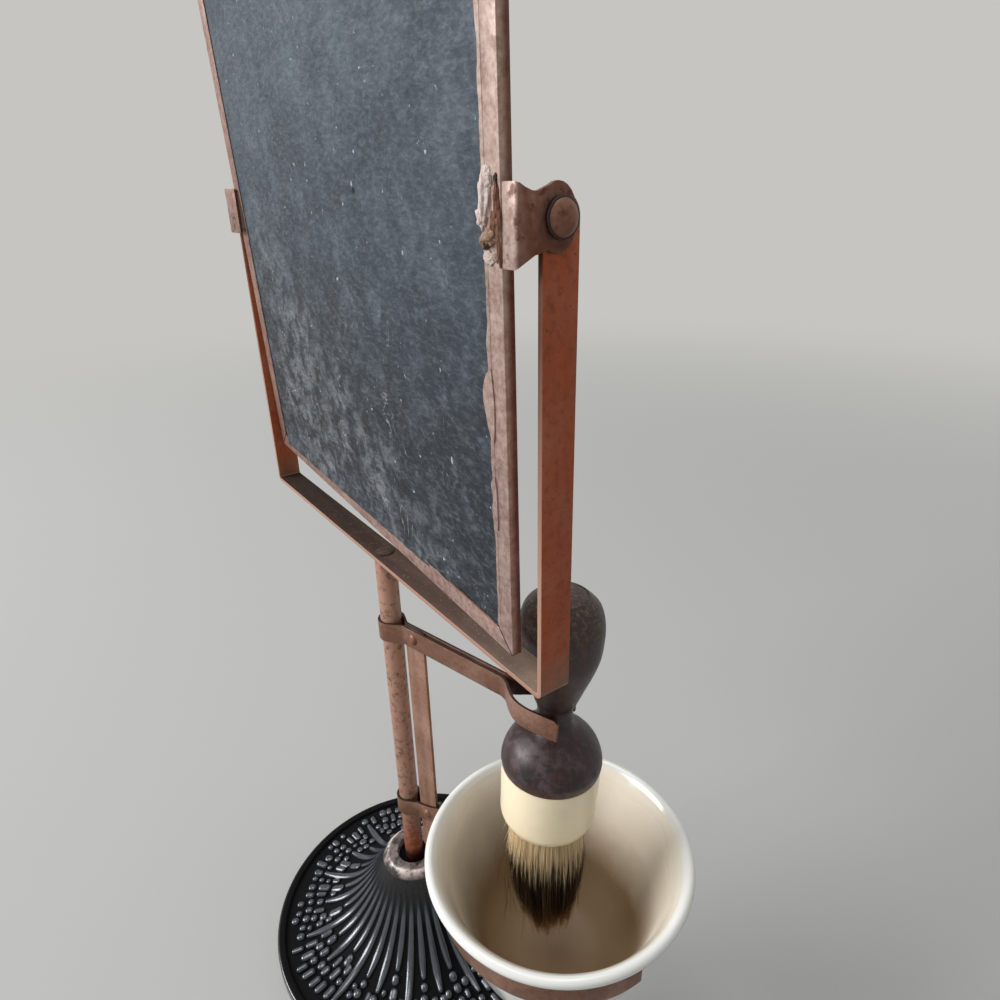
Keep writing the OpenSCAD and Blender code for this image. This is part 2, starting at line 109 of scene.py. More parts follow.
# the same smooth curve as the source draws through its points
def curve(points, steps=5):
    out = []
    for i in range(len(points) - 1):
        a, b, c, d = (np.array(points[max(0, min(len(points) - 1, k))], float)
                      for k in (i - 1, i, i + 1, i + 2))
        for k in range(steps):
            t = k / steps
            out.append(tuple(0.5 * (2 * b + (c - a) * t + (2 * a - 5 * b + 4 * c - d) * t * t
                                    + (3 * b - a - 3 * c + d) * t ** 3)))
    return out + [tuple(points[-1])]


def arc(x, y, r, start, end, steps=8):
    return [(x + r * math.cos(math.radians(start + (end - start) * i / steps)),
             y + r * math.sin(math.radians(start + (end - start) * i / steps)))
            for i in range(steps + 1)]


# rotations about X, then Y, then Z, in degrees
def turn(x, y, z):
    return (Matrix.Rotation(math.radians(z), 4, "Z") @ Matrix.Rotation(math.radians(y), 4, "Y")
            @ Matrix.Rotation(math.radians(x), 4, "X"))


# a mesh object from points in millimetres, placed by where in the row frame
def addMesh(name, points, faces, where=None, smooth=True, sharpAbove=38):
    data = bpy.data.meshes.new(name)
    pts = np.asarray(points, float)
    if where is not None:
        m = np.array(where)
        pts = pts @ m[:3, :3].T + m[:3, 3]
    data.from_pydata((pts * mm).tolist(), [], [list(map(int, f)) for f in faces])
    data.validate()
    made = bpy.data.objects.new(name, data)
    bpy.context.scene.collection.objects.link(made)
    if smooth:
        data.shade_smooth()
        data.set_sharp_from_angle(angle=math.radians(sharpAbove))
    return made


def addValues(made, name, values):
    layer = made.data.attributes.new(name, "FLOAT", "POINT")
    layer.data.foreach_set("value", np.asarray(values, np.float32))


# turns (r, z) points about Z; shape(r, z, angles) may raise the points of a row
def lathe(name, profile, where=None, turns=144, shape=None):
    rows, points, faces, lifts = [], [], [], []
    angles = np.linspace(0, 2 * math.pi, turns, endpoint=False)
    for r, z in profile:
        if r < 1e-6:
            rows.append([len(points)] * turns)
            points.append((0, 0, z))
            lifts.append(0)
        else:
            lift = shape(r, z, angles) if shape else np.zeros(turns)
            rows.append(list(range(len(points), len(points) + turns)))
            points += [(r * math.cos(a), r * math.sin(a), z + u) for a, u in zip(angles, lift)]
            lifts += list(lift)
    for low, high in zip(rows, rows[1:]):
        for k in range(turns):
            face = [low[k], low[(k + 1) % turns], high[(k + 1) % turns], high[k]]
            face = [v for i, v in enumerate(face) if v not in face[:i]]
            if len(face) > 2:
                faces.append(face)
    made = addMesh(name, points, faces, where)
    if shape:
        addValues(made, "lift", lifts)
    return made


def paint(obj, made):
    obj.data.materials.clear()
    obj.data.materials.append(made)


print("stage: helpers ready")

metal = {
    "copper": "a25130", "rubbed": "bb9480", "brown": "4a281b", "soot": "1c120e",
    "frame": "704332", "framePale": "e0ccc1", "rod": "b38874", "strap": "7d5846",
    "riser": "97705c", "rivet": "7c4f3d", "rivetPale": "b08a78", "steel": "3a322f",
    # thin dust at the far end of the yoke's bar to thick at the near end
    "dust": ("20150d", "33241b", "58443b", "7b6a5a"), "crumb": "b3a58f",
    "edge": "5a3b2d", "foot": "7d6452", "rust": "a04f2b", "socket": "1f130d",
    # two painted shades for the straps, a painted highlight for the rails' sides, the dark of open
    # gaps
    "strapTopShade": "1d1510", "shade": "241a15", "roll": "cfb3a4", "gap": "120b09",
    # painted shade round the pivot's head, and dark spots
    "headShade": "2b1d18", "spot": "5d3226",
    # the repair runs from pale lead through brown to dark painted shade in its gap
    "lead": ("d8c6bc", "c6b2a8", "866548", "713a28"), "fillet": "8f8580",
    "softEdge": 0.18, "plateEdge": 0.08, "softAbove": 45, "sharpAbove": 35, "flatBelow": 0.5,
    "weld": 0.002,
}
mirror = {
    "width": 178.2, "height": 208.0, "flange": 5.9, "back": 8.4,
    "shift": 1.3, "tilt": 3.0, "roll": 3.4, "yaw": 1.2, "pivotY": 1.2, "pivotZ": 308.2,
    "card": "171e27", "cardHigh": "56636d", "grit": "11161c", "fleck": "7d868d",
    "scuff": "8b8d8f", "scratch": "c9cbcc", "speck": "b4b8ba", "glass": "dfe4e4",
    "pit": ("d8d4ce", "3a2a22", "0c0a09"),
    # where the pale scuffs are: x, z, radius and strength
    "scuffs": ((12, -61, 21, 0.6), (-14, -81, 22, 0.65), (-45, -96, 20, 0.35),
               (41, -43, 22, 0.65), (58, -70, 30, 0.6), (30, -88, 26, 0.65),
               (66, -20, 24, 0.4), (-2, -30, 14, 0.3)),
    # the lap of the cloth: where it starts, how long and how far down it goes
    "lapStart": -60, "lapLength": 140, "lapDrop": 2.8, "lapSteps": 60,
}
bracket = {"azimuth": 194.3, "reach": 78.8, "ringZ": 88.0, "strap": 8.0}

halfW, halfH = mirror["width"] / 2, mirror["height"] / 2
edgeX, edgeZ = halfW - mirror["flange"], halfH - mirror["flange"]
onBracket = turn(0, 0, bracket["azimuth"])
onMirror = (Matrix.Translation((0, mirror["pivotY"], mirror["pivotZ"]))
            @ turn(-mirror["tilt"], -mirror["roll"], -mirror["yaw"])
            @ Matrix.Translation((-mirror["shift"], mirror["back"] - mirror["pivotY"], 0)))


# copper plate over brass: rubbed pale in places, browned in others, specked with soot;
# each function in more takes the tree, the place, the tone and fine noise, and returns a tone;
# here and below, a noise whose scale is 1000 / n has features about n millimetres across
def wornMetal(name, main, pale, dark, wear=0.5, soot=0.35, metallic=0.4, roughness=0.42,
              more=()):
    made, tree, shader = material(name, roughness, metallic, Specular_IOR_Level=0.3)
    where = add(tree, "TexCoord", out="Object")
    broad = add(tree, "TexNoise", {"Vector": where, "Scale": 1000 / 16, "Detail": 5,
                                   "Roughness": 0.6})
    fine = add(tree, "TexNoise", {"Vector": where, "Scale": 1000 / 2.2, "Detail": 7,
                                  "Roughness": 0.7})
    speck = add(tree, "TexNoise", {"Vector": where, "Scale": 1000 / 0.8, "Detail": 3,
                                   "Roughness": 0.6})
    tone = colour(main)
    for pattern, start, end, much, over in (
            (broad, 0.45, 0.72, wear, pale), (fine, 0.5, 0.72, soot, dark),
            (speck, 0.64, 0.74, 0.75, metal["soot"])):
        mask = add(tree, "ValToRGB", {0: pattern}, stops=((start, 0.0), (end, much)))
        tone = add(tree, "Mix", {0: mask, 6: tone, 7: colour(over)}, data_type="RGBA")
    for change in more:
        tone = change(tree, where, tone, fine)
    tree.links.new(tone, shader.inputs["Base Color"])
    rough = add(tree, "MapRange", {"Value": fine, "To Min": roughness - 0.12,
                                   "To Max": roughness + 0.18})
    if dusty in more:  # dust is matt and doesn't shine like metal
        up = add(tree, "ValToRGB", {0: facing(tree, (0, 0, 1))}, stops=((0.55, 0.0), (0.85, 0.9)))
        rough = add(tree, "Math", {0: rough, 1: up}, operation="MAXIMUM")
        bare = add(tree, "Math", {0: 1.0, 1: up}, operation="SUBTRACT")
        shine = add(tree, "Math", {0: bare, 1: metallic}, operation="MULTIPLY")
        tree.links.new(shine, shader.inputs["Metallic"])
    tree.links.new(rough, shader.inputs["Roughness"])
    blend = add(tree, "Mix", {0: 0.5, 6: fine, 7: speck}, data_type="RGBA")
    dents = add(tree, "Bump", {"Height": blend, "Strength": 0.45, "Distance": 0.12 * mm})
    tree.links.new(dents, shader.inputs["Normal"])
    return made


# dust and tarnish that lie on the faces that point up, thickest at the near end
def dusty(tree, where, tone, fine):
    turned = add(tree, "ValToRGB", {0: facing(tree, (0, 0, 1))}, stops=((0.55, 0.0), (0.85, 1.0)))
    patchy = add(tree, "ValToRGB", {0: fine}, stops=((0.3, 0.88), (0.5, 1.0)))
    cover = add(tree, "Math", {0: turned, 1: patchy}, operation="MULTIPLY", use_clamp=True)
    x = add(tree, "SeparateXYZ", {0: where}, out="X")
    along = add(tree, "MapRange", {"Value": x, "From Min": 94 * mm, "From Max": -94 * mm})
    cloudy = add(tree, "TexNoise", {"Vector": where, "Scale": 1000 / 9, "Detail": 4,
                                    "Roughness": 0.55})
    uneven = add(tree, "Math", {0: cloudy, 1: 0.5}, operation="SUBTRACT")
    ragged = add(tree, "Math", {0: uneven, 1: 0.25}, operation="MULTIPLY")
    along = add(tree, "Math", {0: along, 1: ragged}, operation="ADD", use_clamp=True)
    film = add(tree, "ValToRGB", {0: along},
               stops=tuple(zip((0.0, 0.42, 0.78, 1.0), map(colour, metal["dust"]))))
    tone = add(tree, "Mix", {0: cover, 6: tone, 7: film}, data_type="RGBA")
    cloudy = add(tree, "TexNoise", {"Vector": where, "Scale": 1000 / 1.1, "Detail": 4,
                                    "Roughness": 0.6})
    crumbs = add(tree, "ValToRGB", {0: cloudy}, stops=((0.62, 0.0), (0.7, 0.5)))
    thick = add(tree, "Math", {0: cover, 1: along}, operation="MULTIPLY")
    crumbs = add(tree, "Math", {0: crumbs, 1: thick}, operation="MULTIPLY")
    return add(tree, "Mix", {0: crumbs, 6: tone, 7: colour(metal["crumb"])}, data_type="RGBA")


# the strip's narrow edges are rubbed to the brass low down and painted pale there as a highlight,
# and dark brown higher up; its corners are dusty
def edgeWearAndHighlight(tree, where, tone, fine):
    high = add(tree, "SeparateXYZ", {0: where}, out="Z")
    low = add(tree, "MapRange", {"Value": high, "From Min": 285 * mm, "From Max": 225 * mm})
    edge = add(tree, "ValToRGB", {0: facing(tree, (0, 1, 0))}, stops=((0.4, 0.0), (0.8, 0.85)))
    front = add(tree, "ValToRGB", {0: facing(tree, (0, -1, 0))}, stops=((0.4, 0.0), (0.8, 0.6)))
    worn = add(tree, "Mix", {0: low, 6: colour(metal["edge"]), 7: colour(metal["rubbed"])},
               data_type="RGBA")
    mask = add(tree, "Math", {0: edge, 1: front}, operation="MAXIMUM")
    tone = add(tree, "Mix", {0: mask, 6: tone, 7: worn}, data_type="RGBA")
    level = add(tree, "MapRange", {"Value": high, "From Min": 206 * mm, "From Max": 192 * mm,
                                   "To Min": 0.0, "To Max": 0.9})
    patchy = add(tree, "ValToRGB", {0: fine}, stops=((0.36, 0.4), (0.6, 1.0)))
    foot = add(tree, "Math", {0: level, 1: patchy}, operation="MULTIPLY")
    size = add(tree, "Math", {0: facing(tree, (1, 0, 0))}, operation="ABSOLUTE")
    broadside = add(tree, "ValToRGB", {0: size}, stops=((0.5, 0.0), (0.8, 1.0)))
    mask = add(tree, "Math", {0: foot, 1: broadside}, operation="MULTIPLY")
    return add(tree, "Mix", {0: mask, 6: tone, 7: colour(metal["foot"])}, data_type="RGBA")


# painted shade on the straps' top edges and on the inner face of their rear legs, as in the gap
# between the legs
def darkTop(tree, where, tone, fine):
    y = add(tree, "SeparateXYZ", {0: placeOn(tree, onBracket)}, out="Y")
    rear = add(tree, "MapRange", {"Value": y, "From Min": 0.5 * mm, "From Max": 2.0 * mm})
    inner = onBracket.to_3x3() @ Vector((0, -1, 0))
    turned = add(tree, "ValToRGB", {0: facing(tree, inner)}, stops=((0.4, 0.0), (0.8, 0.8)))
    shade = add(tree, "Math", {0: rear, 1: turned}, operation="MULTIPLY", use_clamp=True)
    tone = add(tree, "Mix", {0: shade, 6: tone, 7: colour(metal["shade"])}, data_type="RGBA")
    mask = add(tree, "ValToRGB", {0: facing(tree, (0, 0, 1))}, stops=((0.5, 0.0), (0.8, 0.9)))
    return add(tree, "Mix", {0: mask, 6: tone, 7: colour(metal["strapTopShade"])}, data_type="RGBA")


# rust low on the post, where it stands in the boss
def rusty(tree, where, tone, fine):
    z = add(tree, "SeparateXYZ", {0: where}, out="Z")
    level = add(tree, "MapRange", {"Value": z, "From Min": 68 * mm, "From Max": 50 * mm})
    patchy = add(tree, "ValToRGB", {0: fine}, stops=((0.36, 0.3), (0.6, 1.0)))
    low = add(tree, "Math", {0: level, 1: patchy}, operation="MULTIPLY", use_clamp=True)
    tone = add(tree, "Mix", {0: low, 6: tone, 7: colour(metal["rust"])}, data_type="RGBA")
    foot = add(tree, "MapRange", {"Value": z, "From Min": 45 * mm, "From Max": 41 * mm,
                                  "To Min": 0.0, "To Max": 0.85})
    return add(tree, "Mix", {0: foot, 6: tone, 7: colour(metal["socket"])}, data_type="RGBA")


# rear faces of the frame and ears get a painted highlight, patchy like rubbed plating,
# paler higher up and towards the near side; the frame's corners have open mitres
def paleRearHighlight(tree, where, tone, fine):
    turned = add(tree, "ValToRGB", {0: facing(tree, (0, 1, 0))}, stops=((0.45, 0.0), (0.8, 0.85)))
    patchy = add(tree, "ValToRGB", {0: fine}, stops=((0.34, 1.0), (0.62, 0.35)))
    rear = add(tree, "Math", {0: turned, 1: patchy}, operation="MULTIPLY", use_clamp=True)
    z = add(tree, "SeparateXYZ", {0: where}, out="Z")
    height = add(tree, "MapRange", {"Value": z, "From Min": 200 * mm, "From Max": 420 * mm,
                                    "To Min": 0.55, "To Max": 1.0})
    rear = add(tree, "Math", {0: rear, 1: height}, operation="MULTIPLY", use_clamp=True)
    x = add(tree, "SeparateXYZ", {0: where}, out="X")
    reach = add(tree, "MapRange", {"Value": x, "From Min": 50 * mm, "From Max": -94 * mm,
                                   "To Min": 0.45, "To Max": 1.0})
    rear = add(tree, "Math", {0: rear, 1: reach}, operation="MULTIPLY")
    return add(tree, "Mix", {0: rear, 6: tone, 7: colour(metal["framePale"])}, data_type="RGBA")


# the rails' outer sides: a patchy painted highlight next to the flange, as on a rolled, lit edge
def paintedRollHighlight(tree, where, tone, fine):
    y = add(tree, "SeparateXYZ", {0: placeOn(tree, onMirror)}, out="Y")
    roll = add(tree, "MapRange", {"Value": y, "From Min": -2.15 * mm, "From Max": -0.8 * mm,
                                  "To Min": 0.0, "To Max": 0.85})
    size = add(tree, "Math", {0: facing(tree, (1, 0, 0))}, operation="ABSOLUTE")
    side = add(tree, "ValToRGB", {0: size}, stops=((0.5, 0.0), (0.8, 1.0)))
    patchy = add(tree, "ValToRGB", {0: fine}, stops=((0.34, 1.0), (0.62, 0.45)))
    rolled = add(tree, "Math", {0: side, 1: roll}, operation="MULTIPLY")
    side = add(tree, "Math", {0: rolled, 1: patchy}, operation="MULTIPLY", use_clamp=True)
    return add(tree, "Mix", {0: side, 6: tone, 7: colour(metal["roll"])}, data_type="RGBA")


def mitres(tree, where, tone, fine):
    own = placeOn(tree, onMirror)
    gaps = []
    for axis, half in (("X", halfW), ("Z", halfH)):
        fromMiddle = add(tree, "SeparateXYZ", {0: own}, out=axis)
        size = add(tree, "Math", {0: fromMiddle}, operation="ABSOLUTE")
        gaps.append(add(tree, "Math", {0: size, 1: half * mm}, operation="SUBTRACT"))
    lean = add(tree, "Math", {0: gaps[0], 1: gaps[1]}, operation="SUBTRACT")
    off = add(tree, "Math", {0: lean}, operation="ABSOLUTE")
    mask = add(tree, "MapRange", {"Value": off, "From Min": 0.2 * mm, "From Max": 0.55 * mm,
                                  "To Min": 0.95, "To Max": 0.0})
    return add(tree, "Mix", {0: mask, 6: tone, 7: colour(metal["gap"])}, data_type="RGBA")


# painted shade in a patchy ring round the pivot's head, and dark spots on the ear
def pivotShadeAndSpots(tree, where, tone, fine):
    out = distance(tree, where, (0, mirror["pivotY"], mirror["pivotZ"]), (0, 1, 1))
    near = add(tree, "MapRange", {"Value": out, "From Min": 4.9 * mm, "From Max": 6.2 * mm,
                                  "To Min": 0.8, "To Max": 0.0})
    patchy = add(tree, "ValToRGB", {0: fine}, stops=((0.4, 1.0), (0.56, 0.15)))
    ring = add(tree, "Math", {0: near, 1: patchy}, operation="MULTIPLY", use_clamp=True)
    tone = add(tree, "Mix", {0: ring, 6: tone, 7: colour(metal["headShade"])}, data_type="RGBA")
    cloudy = add(tree, "TexNoise", {"Vector": where, "Scale": 1000 / 3.2, "Detail": 5,
                                    "Roughness": 0.55})
    spots = add(tree, "ValToRGB", {0: cloudy}, stops=((0.56, 0.0), (0.64, 0.8)))
    return add(tree, "Mix", {0: spots, 6: tone, 7: colour(metal["spot"])}, data_type="RGBA")


yokeCopper = wornMetal("worn copper plate on brass", metal["copper"], metal["rubbed"],
                       metal["brown"], 0.22, 0.5, more=(dusty, edgeWearAndHighlight))
rodCopper = wornMetal("worn copper plate on a rod", metal["rod"], metal["rubbed"],
                      "33201a", 0.55, 0.9, more=(dusty, rusty))
frameCopper = wornMetal("copper-plated sheet brass", metal["frame"], metal["rubbed"],
                        metal["brown"], 0.4, 0.5, more=(paleRearHighlight, paintedRollHighlight, mitres))
earCopper = wornMetal("copper-plated ear", metal["frame"], metal["rubbed"],
                      metal["brown"], 0.45, 0.45, more=(paleRearHighlight, pivotShadeAndSpots))
strapCopper = wornMetal("copper-plated strap, rubbed", metal["strap"], metal["rubbed"],
                        metal["brown"], 0.5, 0.5, more=(darkTop,))
riserCopper = wornMetal("copper-plated riser, rubbed", metal["riser"], metal["rubbed"],
                        metal["brown"], 0.6, 0.45, more=(darkTop,))
rivetCopper = wornMetal("worn rivet head", metal["rivet"], metal["rivetPale"],
                        "3c231b", 0.6, 0.85)
darkSteel = wornMetal("tarnished steel", metal["steel"], "6a5d56", "1c1614", metallic=0.7,
                      roughness=0.45)
for stuff, names in (
        (yokeCopper, ("yoke",)), (rodCopper, ("post",)), (earCopper, ("ear_near", "ear_far")),
        (rivetCopper, ("pivot_rivet_near", "pivot_rivet_far", "upper_rivet", "lower_rivet")),
        (frameCopper, ("frame_rail_near", "frame_rail_far", "frame_rail_top",
                       "frame_rail_bottom")),
        (strapCopper, ("upper_strap", "lower_strap")), (riserCopper, ("riser_strap",)),
        (darkSteel, ("base_washer", "base_nut", "pivot_washer_near", "pivot_washer_far"))):
    for name in names:
        paint(nodes[name], stuff)

# soft edges on everything bent, folded or riveted
for name, node in nodes.items():
    if name.startswith(("yoke", "frame", "ear_near", "ear_far", "upper", "lower", "riser",
                        "pivot", "post")):
        node.modifiers.new("join", "WELD").merge_threshold = metal["weld"] * mm
        flat = node.modifiers.new("one face a plane", "DECIMATE")
        flat.decimate_type = "DISSOLVE"
        flat.angle_limit = math.radians(metal["flatBelow"])
        soft = node.modifiers.new("soft edge", "BEVEL")
        soft.width = metal["softEdge"] * mm
        soft.segments = 2
        soft.limit_method = "ANGLE"
        soft.angle_limit = math.radians(metal["softAbove"])
    node.data.shade_smooth()
    node.data.set_sharp_from_angle(angle=math.radians(metal["sharpAbove"]))


# a craggy surface whose colour runs through stops with each lump's own tone
def tonedMaterial(name, roughness, *stops):
    made, tree, shader = material(name, roughness, 0.15)
    where = add(tree, "TexCoord", out="Object")
    lump = add(tree, "TexNoise", {"Vector": where, "Scale": 1000 / 1.5, "Detail": 8,
                                  "Roughness": 0.75})
    tone = add(tree, "Attribute", out="Fac", attribute_name="tone")
    uneven = add(tree, "Math", {0: lump, 1: 0.5}, operation="SUBTRACT")
    waver = add(tree, "Math", {0: uneven, 1: 0.75}, operation="MULTIPLY")
    shifted = add(tree, "Math", {0: tone, 1: waver}, operation="ADD", use_clamp=True)
    tree.links.new(add(tree, "ValToRGB", {0: shifted}, stops=stops), shader.inputs["Base Color"])
    dents = add(tree, "Bump", {"Height": lump, "Strength": 0.9, "Distance": 0.6 * mm})
    tree.links.new(dents, shader.inputs["Normal"])
    return made


# flattened lumps on a plane: x, z, half width, half height, depth, tone, lean in degrees
def lumps(name, items, where):
    points, faces, tones = [], [], []
    for x, z, wide, tall, deep, tone, lean in items:
        start = len(points)
        across, down = 48, 24
        c, s = math.cos(math.radians(lean)), math.sin(math.radians(lean))
        for i in range(down + 1):
            v = math.pi * i / down
            for k in range(across):
                u = 2 * math.pi * k / across
                d = Vector((math.sin(v) * math.cos(u), math.cos(v), math.sin(v) * math.sin(u)))
                swell = (1 + 0.3 * noise.noise(d * 1.7 + Vector((x, z, deep)) * 3.1)
                         + 0.16 * noise.noise(d * 4.3 + Vector((z, x, tone)) * 2.3)
                         + 0.08 * noise.noise(d * 10 + Vector((z, tone, x))))
                px, pz = d[0] * wide * swell, d[2] * tall * swell
                points.append((x + px * c - pz * s, d[1] * deep * swell, z + px * s + pz * c))
                tones.append(tone)
        for i in range(down):
            for k in range(across):
                a, b = start + i * across + k, start + i * across + (k + 1) % across
                faces.append((a, b, b + across, a + across))
    made = addMesh(name, points, faces, where, smooth=False)
    made.data.shade_smooth()
    addValues(made, "tone", tones)
    return made


# the near ear's repair: pale lead, then a brown smear, and dark lumps painted as the gap's shade
solder = lumps("solderRepair", [
    (-83.7, 9.2, 1.9, 4.9, 1.1, 0.12, 6), (-84.9, 12.9, 1.7, 2.0, 0.8, 0.2, 0),
    (-82.8, 5.4, 1.5, 2.0, 1.2, 0.15, 0), (-85.6, 2.2, 2.7, 1.7, 1.2, 0.5, -20),
    (-87.4, 4.8, 1.2, 2.6, 1.1, 0.62, 0), (-84.6, -1.9, 1.9, 1.5, 0.6, 0.28, 0),
    (-88.0, 8.6, 0.9, 3.8, 0.7, 0.72, 0), (-87.7, 12.7, 0.6, 1.2, 0.35, 1.0, 0),
    (-87.3, -1.3, 1.3, 1.3, 0.7, 0.45, 0), (-84.6, 0.2, 1.7, 0.35, 0.95, 1.0, -25),
    (-89.0, 2.0, 0.7, 5.2, 1.0, 0.6, 0), (-83.0, 1.2, 0.7, 1.6, 1.0, 0.4, 0)], onMirror)
paint(solder, tonedMaterial(
    "lead solder, dull", 0.6, *zip((0.0, 0.32, 0.5, 0.74), map(colour, metal["lead"])),
    (1.0, colour(metal["gap"]))))
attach(solder, "mirror")
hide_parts("ear_solder_near")
plain, tree, shader = material("grey solder fillet", 0.5, 0.4)
shader.inputs["Base Color"].default_value = colour(metal["fillet"])
paint(nodes["ear_solder_far"], plain)


# thin plate with a torn outline that has lifted off the flange
def plate(name, outline, low, high, where):
    n = len(outline)
    points = [(x, low, z) for x, z in outline] + [(x, high, z) for x, z in outline]
    faces = [list(range(n)), list(range(2 * n - 1, n - 1, -1))]
    faces += [(i, (i + 1) % n, n + (i + 1) % n, n + i) for i in range(n)]
    made = addMesh(name, points, faces, where, smooth=False)
    soft = made.modifiers.new("soft edge", "BEVEL")
    soft.width = metal["plateEdge"] * mm
    soft.segments = 2
    paint(made, frameCopper)
    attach(made, "mirror")


# ragged inner edge of a flange: from one end to the other, jagged inwards
def tornEdge(start, end, inward, depth, seed):
    rng = np.random.RandomState(seed)
    steps = int(math.dist(start, end) / 1.3)
    jag = np.convolve(rng.rand(steps + 9) ** 3, np.ones(4) / 4, "same")[4:steps + 5] * depth
    line = [(start[0] + (end[0] - start[0]) * i / steps, start[1] + (end[1] - start[1]) * i / steps)
            for i in range(steps + 1)]
    inner = [(x + inward[0] * j, z + inward[1] * j) for (x, z), j in zip(line, jag)]
    outer = [(x - inward[0] * 0.7, z - inward[1] * 0.7) for x, z in line]
    return inner + outer[::-1]


plate("nearTear", tornEdge((-edgeX, -edgeZ + 1), (-edgeX, edgeZ - 1), (1, 0), 1.3, 5),
      -0.3, 0.05, onMirror)
plate("lowTear", tornEdge((-edgeX + 1, -edgeZ), (edgeX - 1, -edgeZ), (0, 1), 1.2, 8),
      -0.3, 0.05, onMirror)
plate("bulgedFlake", curve([(-83.9, -25.5), (-82.1, -27.2), (-80.9, -30.1), (-80.6, -33.2),
                            (-81.5, -37.1), (-82.7, -41.0), (-84.2, -43.0), (-84.8, -34.0),
                            (-83.9, -25.5)], 4)[:-1], 0.0, 0.3, onMirror)
plate("lowFlake", curve([(-83.9, -52.0), (-82.5, -54.5), (-83.1, -58.4), (-82.6, -61.6),
                         (-83.4, -65.6), (-84.6, -66.0), (-84.6, -56.0), (-83.9, -52.0)], 4)[:-1],
      0.0, 0.35, onMirror)
pit = lumps("cardPit", [(-20.2, 7.1, 0.9, 0.8, 0.12, 1.0, 0), (-19.7, 8.6, 0.35, 0.7, 0.2, 0.0, 0)],
            onMirror @ Matrix.Translation((0, -0.45, 0)))
paint(pit, tonedMaterial("torn card", 0.8, *zip((0.0, 0.5, 1.0), map(colour, mirror["pit"]))))
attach(pit, "mirror")

glass, tree, shader = material("silvered plate glass", 0.02, 1.0)
shader.inputs["Base Color"].default_value = colour(mirror["glass"])
paint(nodes["mirror_glass"], glass)
